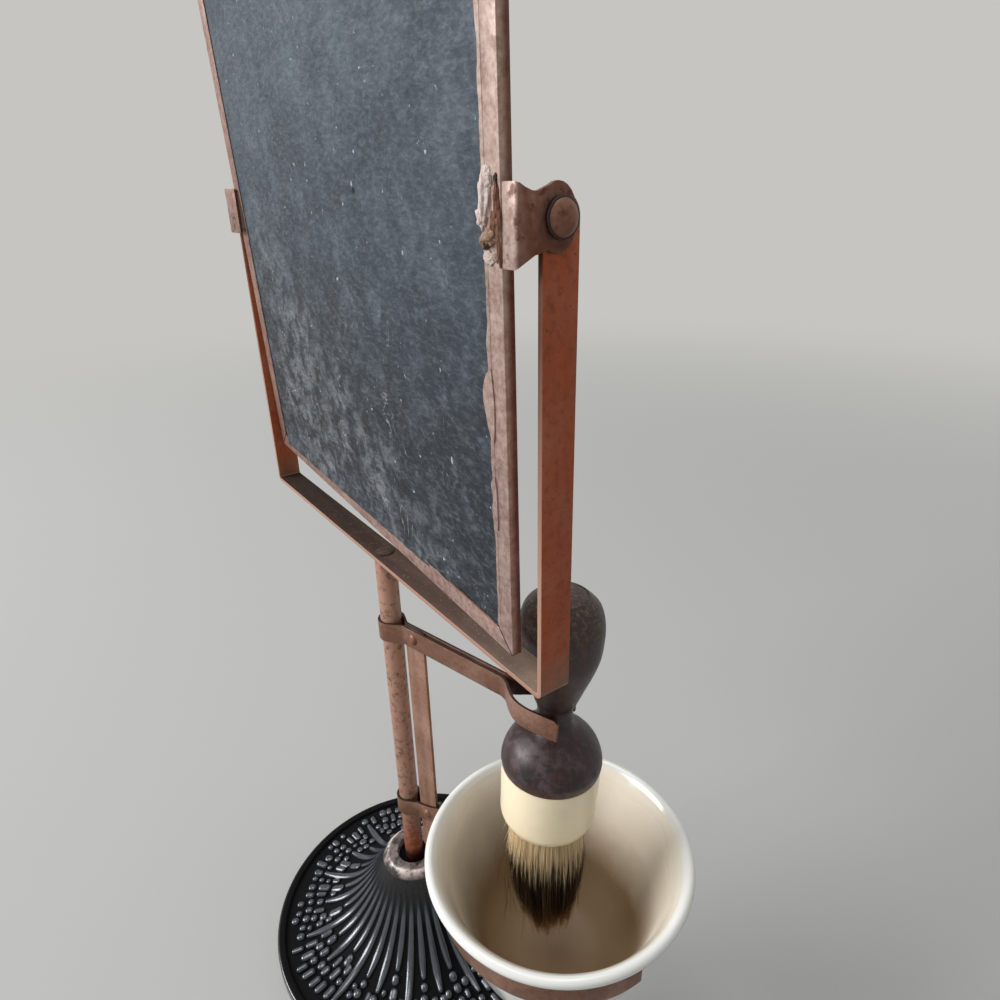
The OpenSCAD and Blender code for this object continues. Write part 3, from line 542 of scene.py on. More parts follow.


# leathercloth on card: matt wrinkles over pebbles, a painted sheen higher up, pale scuffs low down
def cardMaterial():
    made, tree, shader = material("black leathercloth on card", 0.5, Specular_IOR_Level=0.35)
    own = placeOn(tree, onMirror)
    high = add(tree, "SeparateXYZ", {0: own}, out="Z")
    height = add(tree, "MapRange", {"Value": high, "From Min": -60 * mm, "From Max": 95 * mm})
    low = add(tree, "MapRange", {"Value": high, "From Min": 5 * mm, "From Max": -85 * mm,
                                 "To Min": 0.1, "To Max": 1.0})
    skew = add(tree, "Mapping", {"Vector": own, "Rotation": (0, -0.45, 0), "Scale": (0.45, 1, 1)})
    pebble = add(tree, "TexVoronoi", {"Vector": skew, "Scale": 1000 / 1.0}, out="Distance",
                 feature="SMOOTH_F1")
    wrinkle = add(tree, "TexNoise", {"Vector": skew, "Scale": 1000 / 1.3, "Detail": 8,
                                     "Roughness": 0.82, "Distortion": 0.3})
    haze = add(tree, "TexNoise", {"Vector": own, "Scale": 1000 / 13, "Detail": 4,
                                  "Roughness": 0.6, "Distortion": 0.5})
    cloud = add(tree, "TexNoise", {"Vector": own, "Scale": 1000 / 55, "Detail": 3,
                                   "Roughness": 0.5, "Distortion": 0.3})
    blotch = add(tree, "TexNoise", {"Vector": own, "Scale": 1000 / 8, "Detail": 10,
                                    "Roughness": 0.72, "Distortion": 0.5})
    # paler higher up: a painted sheen
    tone = add(tree, "Mix", {0: height, 6: colour(mirror["card"]), 7: colour(mirror["cardHigh"])},
               data_type="RGBA")
    for pattern, stops, over in (
            (cloud, ((0.4, 0.45), (0.6, 0.0)), "card"), (haze, ((0.36, 0.3), (0.5, 0.0)), "grit"),
            (haze, ((0.5, 0.0), (0.66, 0.16)), "fleck"),
            (wrinkle, ((0.36, 0.45), (0.5, 0.0)), "grit"),
            (wrinkle, ((0.5, 0.0), (0.64, 0.3)), "fleck"),
            (blotch, ((0.38, 0.75), (0.5, 0.0)), "grit"),
            (blotch, ((0.54, 0.0), (0.7, 0.3)), "scuff")):
        mask = add(tree, "ValToRGB", {0: pattern}, stops=stops)
        if pattern is blotch:  # blotches only low down
            mask = add(tree, "Math", {0: low, 1: mask}, operation="MULTIPLY")
        tone = add(tree, "Mix", {0: mask, 6: tone, 7: colour(mirror[over])}, data_type="RGBA")
    for x, z, size, much in mirror["scuffs"]:
        gap = distance(tree, own, (x, 0, z), (1, 0, 0.8))
        near = add(tree, "MapRange", {"Value": gap, "From Min": 0, "From Max": size * mm,
                                      "To Min": much, "To Max": 0.0})
        patchy = add(tree, "ValToRGB", {0: blotch}, stops=((0.45, 0.0), (0.58, 0.9)))
        patch = add(tree, "Math", {0: near, 1: patchy}, operation="MULTIPLY", use_clamp=True)
        patchy = add(tree, "ValToRGB", {0: wrinkle}, stops=((0.36, 0.35), (0.56, 1.0)))
        patch = add(tree, "Math", {0: patch, 1: patchy}, operation="MULTIPLY")
        tone = add(tree, "Mix", {0: patch, 6: tone, 7: colour(mirror["scuff"])}, data_type="RGBA")
    cloudy = add(tree, "TexNoise", {"Vector": own, "Scale": 1000 / 26, "Detail": 3,
                                    "Roughness": 0.5, "Distortion": 2.2})
    bend = add(tree, "Math", {0: cloudy, 1: 0.5}, operation="SUBTRACT")
    offLine = add(tree, "Math", {0: bend}, operation="ABSOLUTE")
    line = add(tree, "ValToRGB", {0: offLine}, stops=((0.0, 0.6), (0.006, 0.0)))
    cloudy = add(tree, "TexNoise", {"Vector": own, "Scale": 1000 / 17, "Detail": 4,
                                    "Roughness": 0.55})
    patchy = add(tree, "ValToRGB", {0: cloudy}, stops=((0.56, 0.0), (0.62, 1.0)))
    line = add(tree, "Math", {0: line, 1: patchy}, operation="MULTIPLY")
    mask = add(tree, "Math", {0: line, 1: low}, operation="MULTIPLY")
    tone = add(tree, "Mix", {0: mask, 6: tone, 7: colour(mirror["scratch"])}, data_type="RGBA")
    cloudy = add(tree, "TexNoise", {"Vector": own, "Scale": 1000 / 2.2, "Detail": 2,
                                    "Roughness": 0.5})
    speck = add(tree, "ValToRGB", {0: cloudy}, stops=((0.72, 0.0), (0.76, 0.8)))
    tone = add(tree, "Mix", {0: speck, 6: tone, 7: colour(mirror["speck"])}, data_type="RGBA")
    tree.links.new(tone, shader.inputs["Base Color"])
    dullness = add(tree, "ValToRGB", {0: wrinkle}, stops=((0.35, 0.7), (0.65, 0.42)))
    tree.links.new(dullness, shader.inputs["Roughness"])
    blend = add(tree, "Mix", {0: 0.6, 6: pebble, 7: wrinkle}, data_type="RGBA")
    dents = add(tree, "Bump", {"Height": blend, "Strength": 0.7, "Distance": 0.3 * mm})
    tree.links.new(dents, shader.inputs["Normal"])
    return made


leathercloth = cardMaterial()
paint(nodes["back_card"], leathercloth)


# the cloth's lower edge rises off the card and laps over the flange, more so at the far side
def cardLap():
    steps = mirror["lapSteps"]
    points, faces = [], []
    for i in range(steps + 1):
        t = i / steps
        x = mirror["lapStart"] + mirror["lapLength"] * t
        rise = min(1, 8 * t)  # it comes up within the first eighth
        edge = -edgeZ - mirror["lapDrop"] * t ** 0.7 - dice.uniform(0, 0.3)
        points += [(x, -0.55, -edgeZ + 2.2), (x, -0.4 + 0.52 * rise, -edgeZ + 0.2),
                   (x, -0.4 + 0.54 * rise, edge), (x, -0.55 + 0.5 * rise, edge)]
        if i:
            faces += [(4 * i + k - 4, 4 * i + (k + 1) % 4 - 4, 4 * i + (k + 1) % 4, 4 * i + k)
                      for k in range(4)]
    faces += [(3, 2, 1, 0), tuple(range(4 * steps, 4 * steps + 4))]
    made = addMesh("cardLap", points, faces, onMirror)
    paint(made, leathercloth)
    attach(made, "mirror")


cardLap()
print("stage: metals and card painted")


base = {
    "radius": 65.0, "bossHeight": 41.0, "bossRadius": 14.0, "bossTop": 10.5,
    "recessRadius": 6.8, "recessDepth": 4.0, "rimHeight": 5.0, "plateRadius": 61.0,
    "plateHeight": 3.6, "power": 3.2, "wall": 3.4,
    "bossRound": 2.5, "hole": 4.1, "hubRadius": 12.0, "hubHeight": 22.0, "turns": 1100,
    "ribs": 40, "ribHeight": 1.35, "ribStart": 15.0, "ribEnds": (52, 38, 45, 35),
    "studHeight": 1.45, "studLengths": [0.1, 0.3, 0.6, 1.6, 3.0], "studsEnd": 57.6,
    "paint": "060607", "sheen": "2a2f38", "wornMetal": "e2cec4", "grime": "2b2522",
    "recess": "21150f",
}


# the same flare as the source
def flareHeight(r):
    span = base["plateRadius"] - base["bossRadius"]
    return base["plateHeight"] + (base["bossHeight"] - 3 - base["plateHeight"]) * (
        1 - (r - base["bossRadius"]) / span) ** base["power"]


# ribs that part from a smooth neck and widen outwards, and past them studs and bars
def ribField():
    items = []
    for i in range(base["ribs"]):
        end = base["ribEnds"][i % 4] + dice.uniform(-2.5, 2.5)
        items.append((i, base["ribStart"], end, 1.0, 0.0))
        for row, r, thin, thick in ((i, end + 3.2, 1.6, 2.1),
                                    (i + 0.5, 43 + dice.uniform(-1.5, 3), 1.25, 1.75)):
            while r < base["studsEnd"]:
                long = dice.choice(base["studLengths"])
                wide = dice.uniform(thin, thick)
                items.append((row + dice.uniform(-0.1, 0.1), r,
                              min(r + long, base["studsEnd"] + 0.6), dice.uniform(0.8, 1.2), wide))
                r += long + 2 * wide + dice.uniform(0.0, 1.0)
    return items


ribItems = ribField()


def relief(r, z, angles):
    lift = np.zeros(len(angles))
    if r < base["bossRadius"] + 0.5 or r > 60.2 or z < base["plateHeight"] - 0.3:
        return lift
    step = 2 * math.pi / base["ribs"]
    for row, start, end, tall, wide in ribItems:
        isRib = wide == 0
        if isRib:
            wide = min(max(0.33 * step * r, 0.8), 1.75) * (1 - 0.35 * max(0, r - end + 6) / 6)
        if wide <= 0 or r < start - 2 or r > end + wide:
            continue
        across = ((angles - row * step + math.pi) % (2 * math.pi) - math.pi) * r
        along = max(start - r, r - end, 0)
        away = np.sqrt(across ** 2 + along ** 2) / wide
        bulge = np.sqrt(np.clip(1 - away ** 2.1, 0, 1))
        if isRib:
            bulge *= min(1, max(0, r - start) / 8) * base["ribHeight"]
        else:
            bulge *= base["studHeight"] * tall
        lift = np.maximum(lift, bulge)
    return lift


recessZ = base["bossHeight"] - base["recessDepth"]
flareRows = np.concatenate([np.linspace(base["bossRadius"], 30, 30, endpoint=False),
                            np.linspace(30, base["plateRadius"], 120)])
underRows = [(r, max(flareHeight(r) - base["wall"], 1.0))
             for r in np.linspace(base["plateRadius"] - 3, base["bossRadius"] + 2, 14)]
baseProfile = (
    [(base["hole"], recessZ), (base["recessRadius"], recessZ),
     (base["recessRadius"] + 0.5, base["bossHeight"] - 0.8),
     (base["recessRadius"] + 1.3, base["bossHeight"]), (base["bossTop"], base["bossHeight"])]
    + arc(base["bossTop"], base["bossHeight"] - base["bossRound"], base["bossRound"], 80, 20, 6)
    + [(r, flareHeight(r)) for r in flareRows]
    + [(base["plateRadius"] + 0.7, base["rimHeight"] - 0.2),
       (base["plateRadius"] + 1.4, base["rimHeight"])]
    + arc(base["radius"] - 1, base["rimHeight"] - 1, 1, 90, 0, 5)
    + [(base["radius"], 0), (base["plateRadius"] - 2, 0), (base["plateRadius"] - 3, 1)]
    + underRows + [(base["hubRadius"], base["hubHeight"]), (base["hole"], base["hubHeight"]),
                   (base["hole"], recessZ)])
casting = lathe("castIronBase", baseProfile[::-1], turns=base["turns"], shape=relief)


# japanned cast iron: glossy on the ribs, dull in the grooves, rubbed off round the boss,
# where a painted highlight makes it pale
def ironMaterial():
    made, tree, shader = material("japanned cast iron", 0.5, 0.0, Specular_IOR_Level=0.12,
                                  Coat_Roughness=0.2, Coat_IOR=1.85)
    where = add(tree, "TexCoord", out="Object")
    lift = add(tree, "Attribute", out="Fac", attribute_name="lift")
    out = distance(tree, where, (0, 0, 0), (1, 1, 0))
    raised = add(tree, "Math", {0: lift, 1: 0.7}, operation="MULTIPLY")
    top = add(tree, "ValToRGB", {0: raised}, stops=((0.25, 0.0), (0.75, 1.0)))
    neck = add(tree, "MapRange", {"Value": out, "From Min": 24 * mm, "From Max": 15 * mm,
                                  "To Min": 0.0, "To Max": 0.5})
    rim = add(tree, "MapRange", {"Value": out, "From Min": (base["radius"] - 1.1) * mm,
                                 "From Max": (base["radius"] - 0.4) * mm})
    fine = add(tree, "TexNoise", {"Vector": where, "Scale": 1000 / 1.6, "Detail": 6,
                                  "Roughness": 0.65})
    z = add(tree, "SeparateXYZ", {0: where}, out="Z")
    high = add(tree, "MapRange", {"Value": z, "From Min": 37.5 * mm, "From Max": 40.6 * mm})
    shoulder = add(tree, "ValToRGB", {0: facing(tree, (0, 0, 1))},
                   stops=((0.86, 1.0), (0.99, 0.25)))
    cloudy = add(tree, "TexNoise", {"Vector": where, "Scale": 1000 / 5, "Detail": 6,
                                    "Roughness": 0.65})
    patchy = add(tree, "ValToRGB", {0: cloudy}, stops=((0.42, 0.1), (0.6, 1.0)))
    worn = add(tree, "Math", {0: high, 1: shoulder}, operation="MULTIPLY")
    rubbed = add(tree, "Math", {0: worn, 1: patchy}, operation="MULTIPLY", use_clamp=True)
    # the raised tops are painted a paler, bluish sheen
    tone = add(tree, "Mix", {0: top, 6: colour(base["paint"]), 7: colour(base["sheen"])},
               data_type="RGBA")
    mask = add(tree, "ValToRGB", {0: fine}, stops=((0.6, 0.0), (0.8, 0.35)))
    tone = add(tree, "Mix", {0: mask, 6: tone, 7: colour(base["grime"])}, data_type="RGBA")
    # rubbed round the boss's shoulder, and painted pale there as a highlight
    tone = add(tree, "Mix", {0: rubbed, 6: tone, 7: colour(base["wornMetal"])}, data_type="RGBA")
    hole = add(tree, "MapRange", {"Value": out, "From Min": (base["recessRadius"] + 1.2) * mm,
                                  "From Max": (base["recessRadius"] + 0.2) * mm})
    mask = add(tree, "Math", {0: hole, 1: high}, operation="MULTIPLY")
    tone = add(tree, "Mix", {0: mask, 6: tone, 7: colour(base["recess"])}, data_type="RGBA")
    tree.links.new(tone, shader.inputs["Base Color"])
    bright = add(tree, "Math", {0: top, 1: neck}, operation="MAXIMUM")
    polished = add(tree, "Math", {0: bright, 1: rim}, operation="MAXIMUM")
    polished = add(tree, "Math", {0: polished, 1: hole}, operation="SUBTRACT", use_clamp=True)
    patchy = add(tree, "ValToRGB", {0: fine}, stops=((0.35, 1.0), (0.7, 0.6)))
    polish = add(tree, "Math", {0: polished, 1: patchy}, operation="MULTIPLY")
    tree.links.new(polish, shader.inputs["Coat Weight"])
    dullness = add(tree, "ValToRGB", {0: polished}, stops=((0.0, 0.75), (1.0, 0.34)))
    tree.links.new(dullness, shader.inputs["Roughness"])
    dents = add(tree, "Bump", {"Height": fine, "Strength": 0.45, "Distance": 0.14 * mm})
    tree.links.new(dents, shader.inputs["Normal"])
    return made


paint(casting, ironMaterial())
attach(casting, "stand")
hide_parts("base_casting")
print("stage: base cast")

cup = {
    "radius": 46.9, "top": 102.0, "bottom": 42.0, "lip": 1.8,
    "glaze": "e2e0d9", "turns": 192,
    # down inside, from the lip to the darkest at the foot: painted shade with a warm stain
    "inside": ("e6dfcf", "f0e5d0", "e0d2bc", "907759", "907759"),
    # height and radius of the middle of the wall, low down and high up
    "wallLow": (50, 24.5), "wallHigh": (100, 43.2),
}
onCup = onBracket @ Matrix.Translation((bracket["reach"], 0, 0))
ringTop = bracket["ringZ"] + bracket["strap"] / 2
cupOuter = curve([(25, cup["bottom"] + 1), (26.5, cup["bottom"] + 5), (31, 55), (36, 70),
                  (38.7, 82), (40.5, ringTop - 1.2), (41.2, ringTop + 0.4),
                  (42.8, ringTop + 2.6), (cup["radius"] - 1.6, cup["top"] - 4.6),
                  (cup["radius"] - 0.3, cup["top"] - 3)], 8)
cupInner = curve([(cup["radius"] - 4.2, cup["top"] - 1.7), (41.2, 97.9), (39.6, 94.6),
                  (38.2, 91.2), (36.9, 87), (35.4, 81.5), (33.1, 74), (29.8, 64.5), (25, 55),
                  (16, 48.2), (0, cup["bottom"] + 4.6)], 8)
bowl = lathe("chinaCup", [(0, cup["bottom"] + 2), (20, cup["bottom"] + 2),
                          (21, cup["bottom"]), (24, cup["bottom"])] + cupOuter
             + arc(cup["radius"] - cup["lip"], cup["top"] - cup["lip"], cup["lip"], 0, 130, 14)
             + cupInner, onCup, cup["turns"])


# white glazed earthenware, painted a warm brown that darkens down inside: shade and stain
def glazeMaterial():
    made, tree, shader = material("glazed earthenware", 0.12, 0.0, Coat_Roughness=0.05, IOR=1.5)
    where = add(tree, "TexCoord", out="Object")
    cloud = add(tree, "TexNoise", {"Vector": where, "Scale": 1000 / 30, "Detail": 4,
                                   "Roughness": 0.55})
    centre = onCup.to_translation()
    out = distance(tree, where, (centre[0], centre[1], 0), (1, 1, 0))
    lift = add(tree, "SeparateXYZ", {0: where}, out="Z")
    (lowZ, lowR), (highZ, highR) = cup["wallLow"], cup["wallHigh"]
    wallRadius = add(tree, "MapRange", {"Value": lift, "From Min": lowZ * mm,
                                        "From Max": highZ * mm, "To Min": lowR, "To Max": highR})
    radius = add(tree, "Math", {0: out, 1: 1000.0}, operation="MULTIPLY")
    inside = add(tree, "Math", {0: radius, 1: wallRadius}, operation="LESS_THAN")
    uneven = add(tree, "Math", {0: cloud, 1: 0.5}, operation="SUBTRACT")
    waver = add(tree, "Math", {0: uneven, 1: 0.35}, operation="MULTIPLY")
    level = add(tree, "MapRange", {"Value": lift, "From Min": 101 * mm, "From Max": 46 * mm})
    depth = add(tree, "Math", {0: level, 1: waver}, operation="ADD", use_clamp=True)
    # darker and browner deeper down: painted shade, and a stain
    stainAndShade = add(tree, "ValToRGB", {0: depth},
                stops=tuple(zip((0.0, 0.08, 0.32, 0.68, 1.0), map(colour, cup["inside"]))))
    tone = add(tree, "Mix", {0: inside, 6: colour(cup["glaze"]), 7: stainAndShade}, data_type="RGBA")
    tree.links.new(tone, shader.inputs["Base Color"])
    # soap has dulled the glaze below the lip
    patchy = add(tree, "ValToRGB", {0: depth}, stops=((0.05, 0.0), (0.2, 1.0)))
    dull = add(tree, "Math", {0: inside, 1: patchy}, operation="MULTIPLY")
    dullness = add(tree, "ValToRGB", {0: dull}, stops=((0.0, 0.12), (1.0, 0.5)))
    tree.links.new(dullness, shader.inputs["Roughness"])
    polish = add(tree, "ValToRGB", {0: dull}, stops=((0.0, 0.4), (1.0, 0.0)))
    tree.links.new(polish, shader.inputs["Coat Weight"])
    cloudy = add(tree, "TexNoise", {"Vector": where, "Scale": 1000 / 18, "Detail": 2,
                                    "Roughness": 0.4})
    dents = add(tree, "Bump", {"Height": cloudy, "Strength": 0.25, "Distance": 0.12 * mm})
    tree.links.new(dents, shader.inputs["Normal"])
    return made


paint(bowl, glazeMaterial())
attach(bowl, "cup")
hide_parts("cup")

brush = {
    "r": 76.6, "neckZ": 161.0, "lean": 2.1, "sway": 2.0,
    "ferruleTop": -21.0, "ferruleLength": 24.0, "ferruleRadius": 16.2, "ferruleRound": 5.6,
    "bore": 12.0, "turns": 128,
    "hairs": 6200, "hairLength": 56.0, "hairRows": 8, "hairThick": 0.09, "strayThick": 0.13,
    "root": 11.7, "waist": 13.3, "taper": 4.0, "drift": 3.4, "spread": 2.2, "clump": 3.8,
    "strays": 0.025, "strayReach": (3, 15),
    "wood": "1d0e0b", "woodLight": "4c261d", "woodDark": "130a09", "woodWorn": "77624a",
    # a painted sheen's purple-grey, then the reddish rim and the bone
    "paintedSheen": "57464b", "rim": "6b3a31", "bone": "fbe9c6", "boneAged": "e6d2a8",
    # along a hair: cream root, dark band, tan tip
    "hair": ("fde6b8", "f6dcb0", "19110c", "19110c", "b07c42", "c9a06a"),
    "hairBrown": "7a5430", "strayPale": "b9925f",
}
onBrush = (onBracket @ Matrix.Translation((brush["r"], 0, brush["neckZ"]))
           @ turn(-brush["sway"], brush["lean"], 0))
ferruleTop = brush["ferruleTop"]
ferruleEnd = ferruleTop - brush["ferruleLength"]
fr, fround = brush["ferruleRadius"], brush["ferruleRound"]
handle = lathe("brushHandle", [(0, ferruleTop - 8), (brush["bore"] - 0.2, ferruleTop - 8),
                               (brush["bore"] - 0.2, ferruleTop), (fr - 0.2, ferruleTop)]
               + curve([(fr + 0.2, ferruleTop + 0.6), (16.6, -17.6), (15.5, -13.6),
                        (13.4, -10.2), (10, -7.4), (7.2, -5.6), (6, -3.4), (5.8, -0.8),
                        (5.8, 1.6), (6.2, 3.8), (7.1, 6), (9.2, 12), (11, 17), (12.7, 23),
                        (13.2, 29), (13, 34.4), (11.6, 39.4), (8.8, 42.4)], 8)
               + [(7.6, 43.4), (7.2, 43.1), (6, 43.5), (0, 43.9)],
               onBrush, brush["turns"])


# dark polished rosewood: streaks along the turning, the polish scratched on top
def woodMaterial():
    made, tree, shader = material("dark rosewood", 0.34, 0.0, Coat_Weight=0.1,
                                  Coat_Roughness=0.3)
    own = placeOn(tree, onBrush)
    along = add(tree, "Mapping", {"Vector": own, "Scale": (1, 1, 0.16)})
    streak = add(tree, "TexNoise", {"Vector": along, "Scale": 1000 / 1.6, "Detail": 7,
                                    "Roughness": 0.75, "Distortion": 0.5})
    broad = add(tree, "TexNoise", {"Vector": own, "Scale": 1000 / 8, "Detail": 5,
                                   "Roughness": 0.65, "Distortion": 0.8})
    mask = add(tree, "ValToRGB", {0: streak}, stops=((0.42, 0.0), (0.66, 0.95)))
    tone = add(tree, "Mix", {0: mask, 6: colour(brush["wood"]), 7: colour(brush["woodLight"])},
               data_type="RGBA")
    mask = add(tree, "ValToRGB", {0: broad}, stops=((0.4, 0.0), (0.62, 0.75)))
    tone = add(tree, "Mix", {0: mask, 6: tone, 7: colour(brush["woodDark"])}, data_type="RGBA")
    # mottled purple-grey patches low on the handle: a painted sheen
    paintedSheen = add(tree, "TexNoise", {"Vector": own, "Scale": 1000 / 5, "Detail": 7,
                                   "Roughness": 0.7, "Distortion": 0.2})
    high = add(tree, "SeparateXYZ", {0: own}, out="Z")
    level = add(tree, "MapRange", {"Value": high, "From Min": 10 * mm, "From Max": -6 * mm})
    patchy = add(tree, "ValToRGB", {0: paintedSheen}, stops=((0.48, 0.0), (0.6, 0.55)))
    paintedSheen = add(tree, "Math", {0: patchy, 1: level}, operation="MULTIPLY")
    tone = add(tree, "Mix", {0: paintedSheen, 6: tone, 7: colour(brush["paintedSheen"])}, data_type="RGBA")
    rim = add(tree, "MapRange", {"Value": high, "From Min": -17.5 * mm, "From Max": -20.6 * mm})
    patchy = add(tree, "ValToRGB", {0: broad}, stops=((0.35, 0.2), (0.6, 0.8)))
    mask = add(tree, "Math", {0: rim, 1: patchy}, operation="MULTIPLY")
    tone = add(tree, "Mix", {0: mask, 6: tone, 7: colour(brush["rim"])}, data_type="RGBA")
    cloudy = add(tree, "TexNoise", {"Vector": own, "Scale": 1000 / 1.3, "Detail": 7,
                                    "Roughness": 0.8})
    patchy = add(tree, "ValToRGB", {0: cloudy}, stops=((0.5, 0.0), (0.64, 0.75)))
    level = add(tree, "MapRange", {"Value": high, "From Min": 24 * mm, "From Max": 40 * mm})
    worn = add(tree, "Math", {0: level, 1: patchy}, operation="MULTIPLY", use_clamp=True)
    tone = add(tree, "Mix", {0: worn, 6: tone, 7: colour(brush["woodWorn"])}, data_type="RGBA")
    tree.links.new(tone, shader.inputs["Base Color"])
    dullness = add(tree, "ValToRGB", {0: streak}, stops=((0.35, 0.34), (0.7, 0.55)))
    tree.links.new(dullness, shader.inputs["Roughness"])
    dents = add(tree, "Bump", {"Height": streak, "Strength": 0.5, "Distance": 0.1 * mm})
    tree.links.new(dents, shader.inputs["Normal"])
    return made


paint(handle, woodMaterial())
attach(handle, "brush")
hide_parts("brush_handle")

ferrule = lathe("boneFerrule", [(brush["bore"], ferruleTop), (fr, ferruleTop),
                                (fr + 0.2, ferruleTop - 4), (fr, ferruleTop - 12)]
                + arc(fr - fround, ferruleEnd + fround, fround, 0, -70, 10)
                + [(brush["bore"], ferruleEnd), (brush["bore"], ferruleTop)],
                onBrush, brush["turns"])
bone, tree, shader = material("polished bone", 0.3, 0.0, Coat_Weight=0.2)
where = add(tree, "TexCoord", out="Object")
cloudy = add(tree, "TexNoise", {"Vector": where, "Scale": 1000 / 12, "Detail": 4,
                                "Roughness": 0.55})
mask = add(tree, "ValToRGB", {0: cloudy}, stops=((0.4, 0.0), (0.8, 0.5)))
cream = add(tree, "Mix", {0: mask, 6: colour(brush["bone"]), 7: colour(brush["boneAged"])},
            data_type="RGBA")
tree.links.new(cream, shader.inputs["Base Color"])
shader.inputs["Subsurface Weight"].default_value = 0.15
shader.inputs["Subsurface Radius"].default_value = (0.002, 0.0015, 0.0008)
paint(ferrule, bone)
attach(ferrule, "brush")
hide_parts("brush_ferrule")


# hairs of three sides from the ferrule to a ragged tip, clumped, with some astray
def knot():
    count, rows, sides = brush["hairs"], brush["hairRows"], 3
    share = np.sqrt((np.arange(count) + 0.5) / count)
    angle = np.arange(count) * math.radians(137.50776)
    long = brush["hairLength"] * (1 - 0.2 * share ** 2.2) * (1 - 0.2 * dice.rand(count))
    loose = (dice.rand(count) < brush["strays"]) & (share > 0.55)
    # shorter on the outer side, so they clear the cup's wall when the brush is drawn out
    stray = np.where(loose, dice.uniform(*brush["strayReach"], count), 0) * (
        1 - 0.75 * np.clip(1.3 * np.cos(angle), 0, 1))
    bend = dice.uniform(1.2, 2.4, count)
    side = dice.normal(0, 0.35, (count, 2))
    clump = np.array([[noise.noise(Vector((math.cos(a) * s * 3.2, math.sin(a) * s * 3.2, k)))
                       for k in (0.3, 7.1)] for a, s in zip(angle, share)])
    points, along = [], []
    for k in range(rows):
        t = k / (rows - 1)
        swell = (brush["waist"] - brush["root"]) * math.sin(math.pi * min(t * 1.1, 1))
        radius = share * (brush["root"] + swell - brush["taper"] * t ** 4) + stray * t ** bend
        aside = side * t * brush["spread"] + clump * brush["clump"] * t ** 2
        x = radius * np.cos(angle) + aside[:, 0]
        y = radius * np.sin(angle) + aside[:, 1]
        z = ferruleEnd + 1.5 - (long + 1.5) * t + np.where(loose, 0.35 * stray * t ** 2, 0)
        thick = np.where(loose, brush["strayThick"], brush["hairThick"]) * (1 - 0.75 * t)
        for s in range(sides):
            a = angle + 2 * math.pi * s / sides
            points.append(np.stack([x + brush["drift"] * t ** 2 + thick * np.cos(a),
                                    y + thick * np.sin(a), z], 1))
            along.append(t * (0.45 + 0.55 * long / brush["hairLength"]))
    points = np.stack(points, 1).reshape(-1, 3)
    along = np.stack(along, 1).reshape(-1)
    each = rows * sides
    faces = []
    for k in range(rows - 1):
        for s in range(sides):
            a, b = k * sides + s, k * sides + (s + 1) % sides
            faces.append(np.array([a, a + sides, b + sides, b]))
    faces = np.array(faces)[None] + (np.arange(count) * each)[:, None, None]
    made = addMesh("brushKnot", points, faces.reshape(-1, 4), onBrush, smooth=False)
    made.data.shade_smooth()
    addValues(made, "along", along)
    addValues(made, "hue", np.repeat(dice.rand(count), each))
    addValues(made, "astray", np.repeat(loose, each))
    return made


# badger hair: cream at the root, a black band, tan tips; each hair differs a little
def hairMaterial():
    made, tree, shader = material("badger hair", 0.45)
    along = add(tree, "Attribute", out="Fac", attribute_name="along")
    hue = add(tree, "Attribute", out="Fac", attribute_name="hue")
    uneven = add(tree, "Math", {0: hue, 1: 0.5}, operation="SUBTRACT")
    waver = add(tree, "Math", {0: uneven, 1: 0.24}, operation="MULTIPLY")
    shifted = add(tree, "Math", {0: along, 1: waver}, operation="ADD")
    tone = add(tree, "ValToRGB", {0: shifted},
               stops=tuple(zip((0.0, 0.24, 0.36, 0.73, 0.88, 1.0), map(colour, brush["hair"]))))
    mask = add(tree, "Math", {0: hue, 1: 0.15}, operation="MULTIPLY")
    tone = add(tree, "Mix", {0: mask, 6: tone, 7: colour(brush["hairBrown"])}, data_type="RGBA")
    astray = add(tree, "Attribute", out="Fac", attribute_name="astray")
    mask = add(tree, "Math", {0: astray, 1: 0.2}, operation="MULTIPLY")
    tone = add(tree, "Mix", {0: mask, 6: tone, 7: colour(brush["strayPale"])}, data_type="RGBA")
    tree.links.new(tone, shader.inputs["Base Color"])
    return made


hairs = knot()
paint(hairs, hairMaterial())
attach(hairs, "brush")
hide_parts("brush_knot")
print("stage: cup and brush made")


# the rays that see the backdrop and not the light: the camera's, and mirrored or bent ones
def backdropRays(tree):
    direct, mirrored, bent = (add(tree, "LightPath", out="Is " + name + " Ray")
                              for name in ("Camera", "Glossy", "Transmission"))
    seen = add(tree, "Math", {0: direct, 1: mirrored}, operation="MAXIMUM")
    return add(tree, "Math", {0: seen, 1: bent}, operation="MAXIMUM")


studio = {
    "wall": "c6c5c1", "table": "acaba7", "sky": "e2e6ea", "windowSide": (0.5, 0.72, 0.48),
    # metres from here on: half the table's width, and where it fades into the wall
    "reach": 40, "fade": (0.35, 1.7),
    # name, place, target, size, watts and colour
    "lights": (("window", (1.1, 1.86, 1.3), (0, 0, 0.18), (1.5, 1.2), 60, "f8faff"),
               ("overhead", (0.2, 0.1, 2.0), (0, 0, 0.1), (1.2, 1.2), 15, "ffffff")),
}

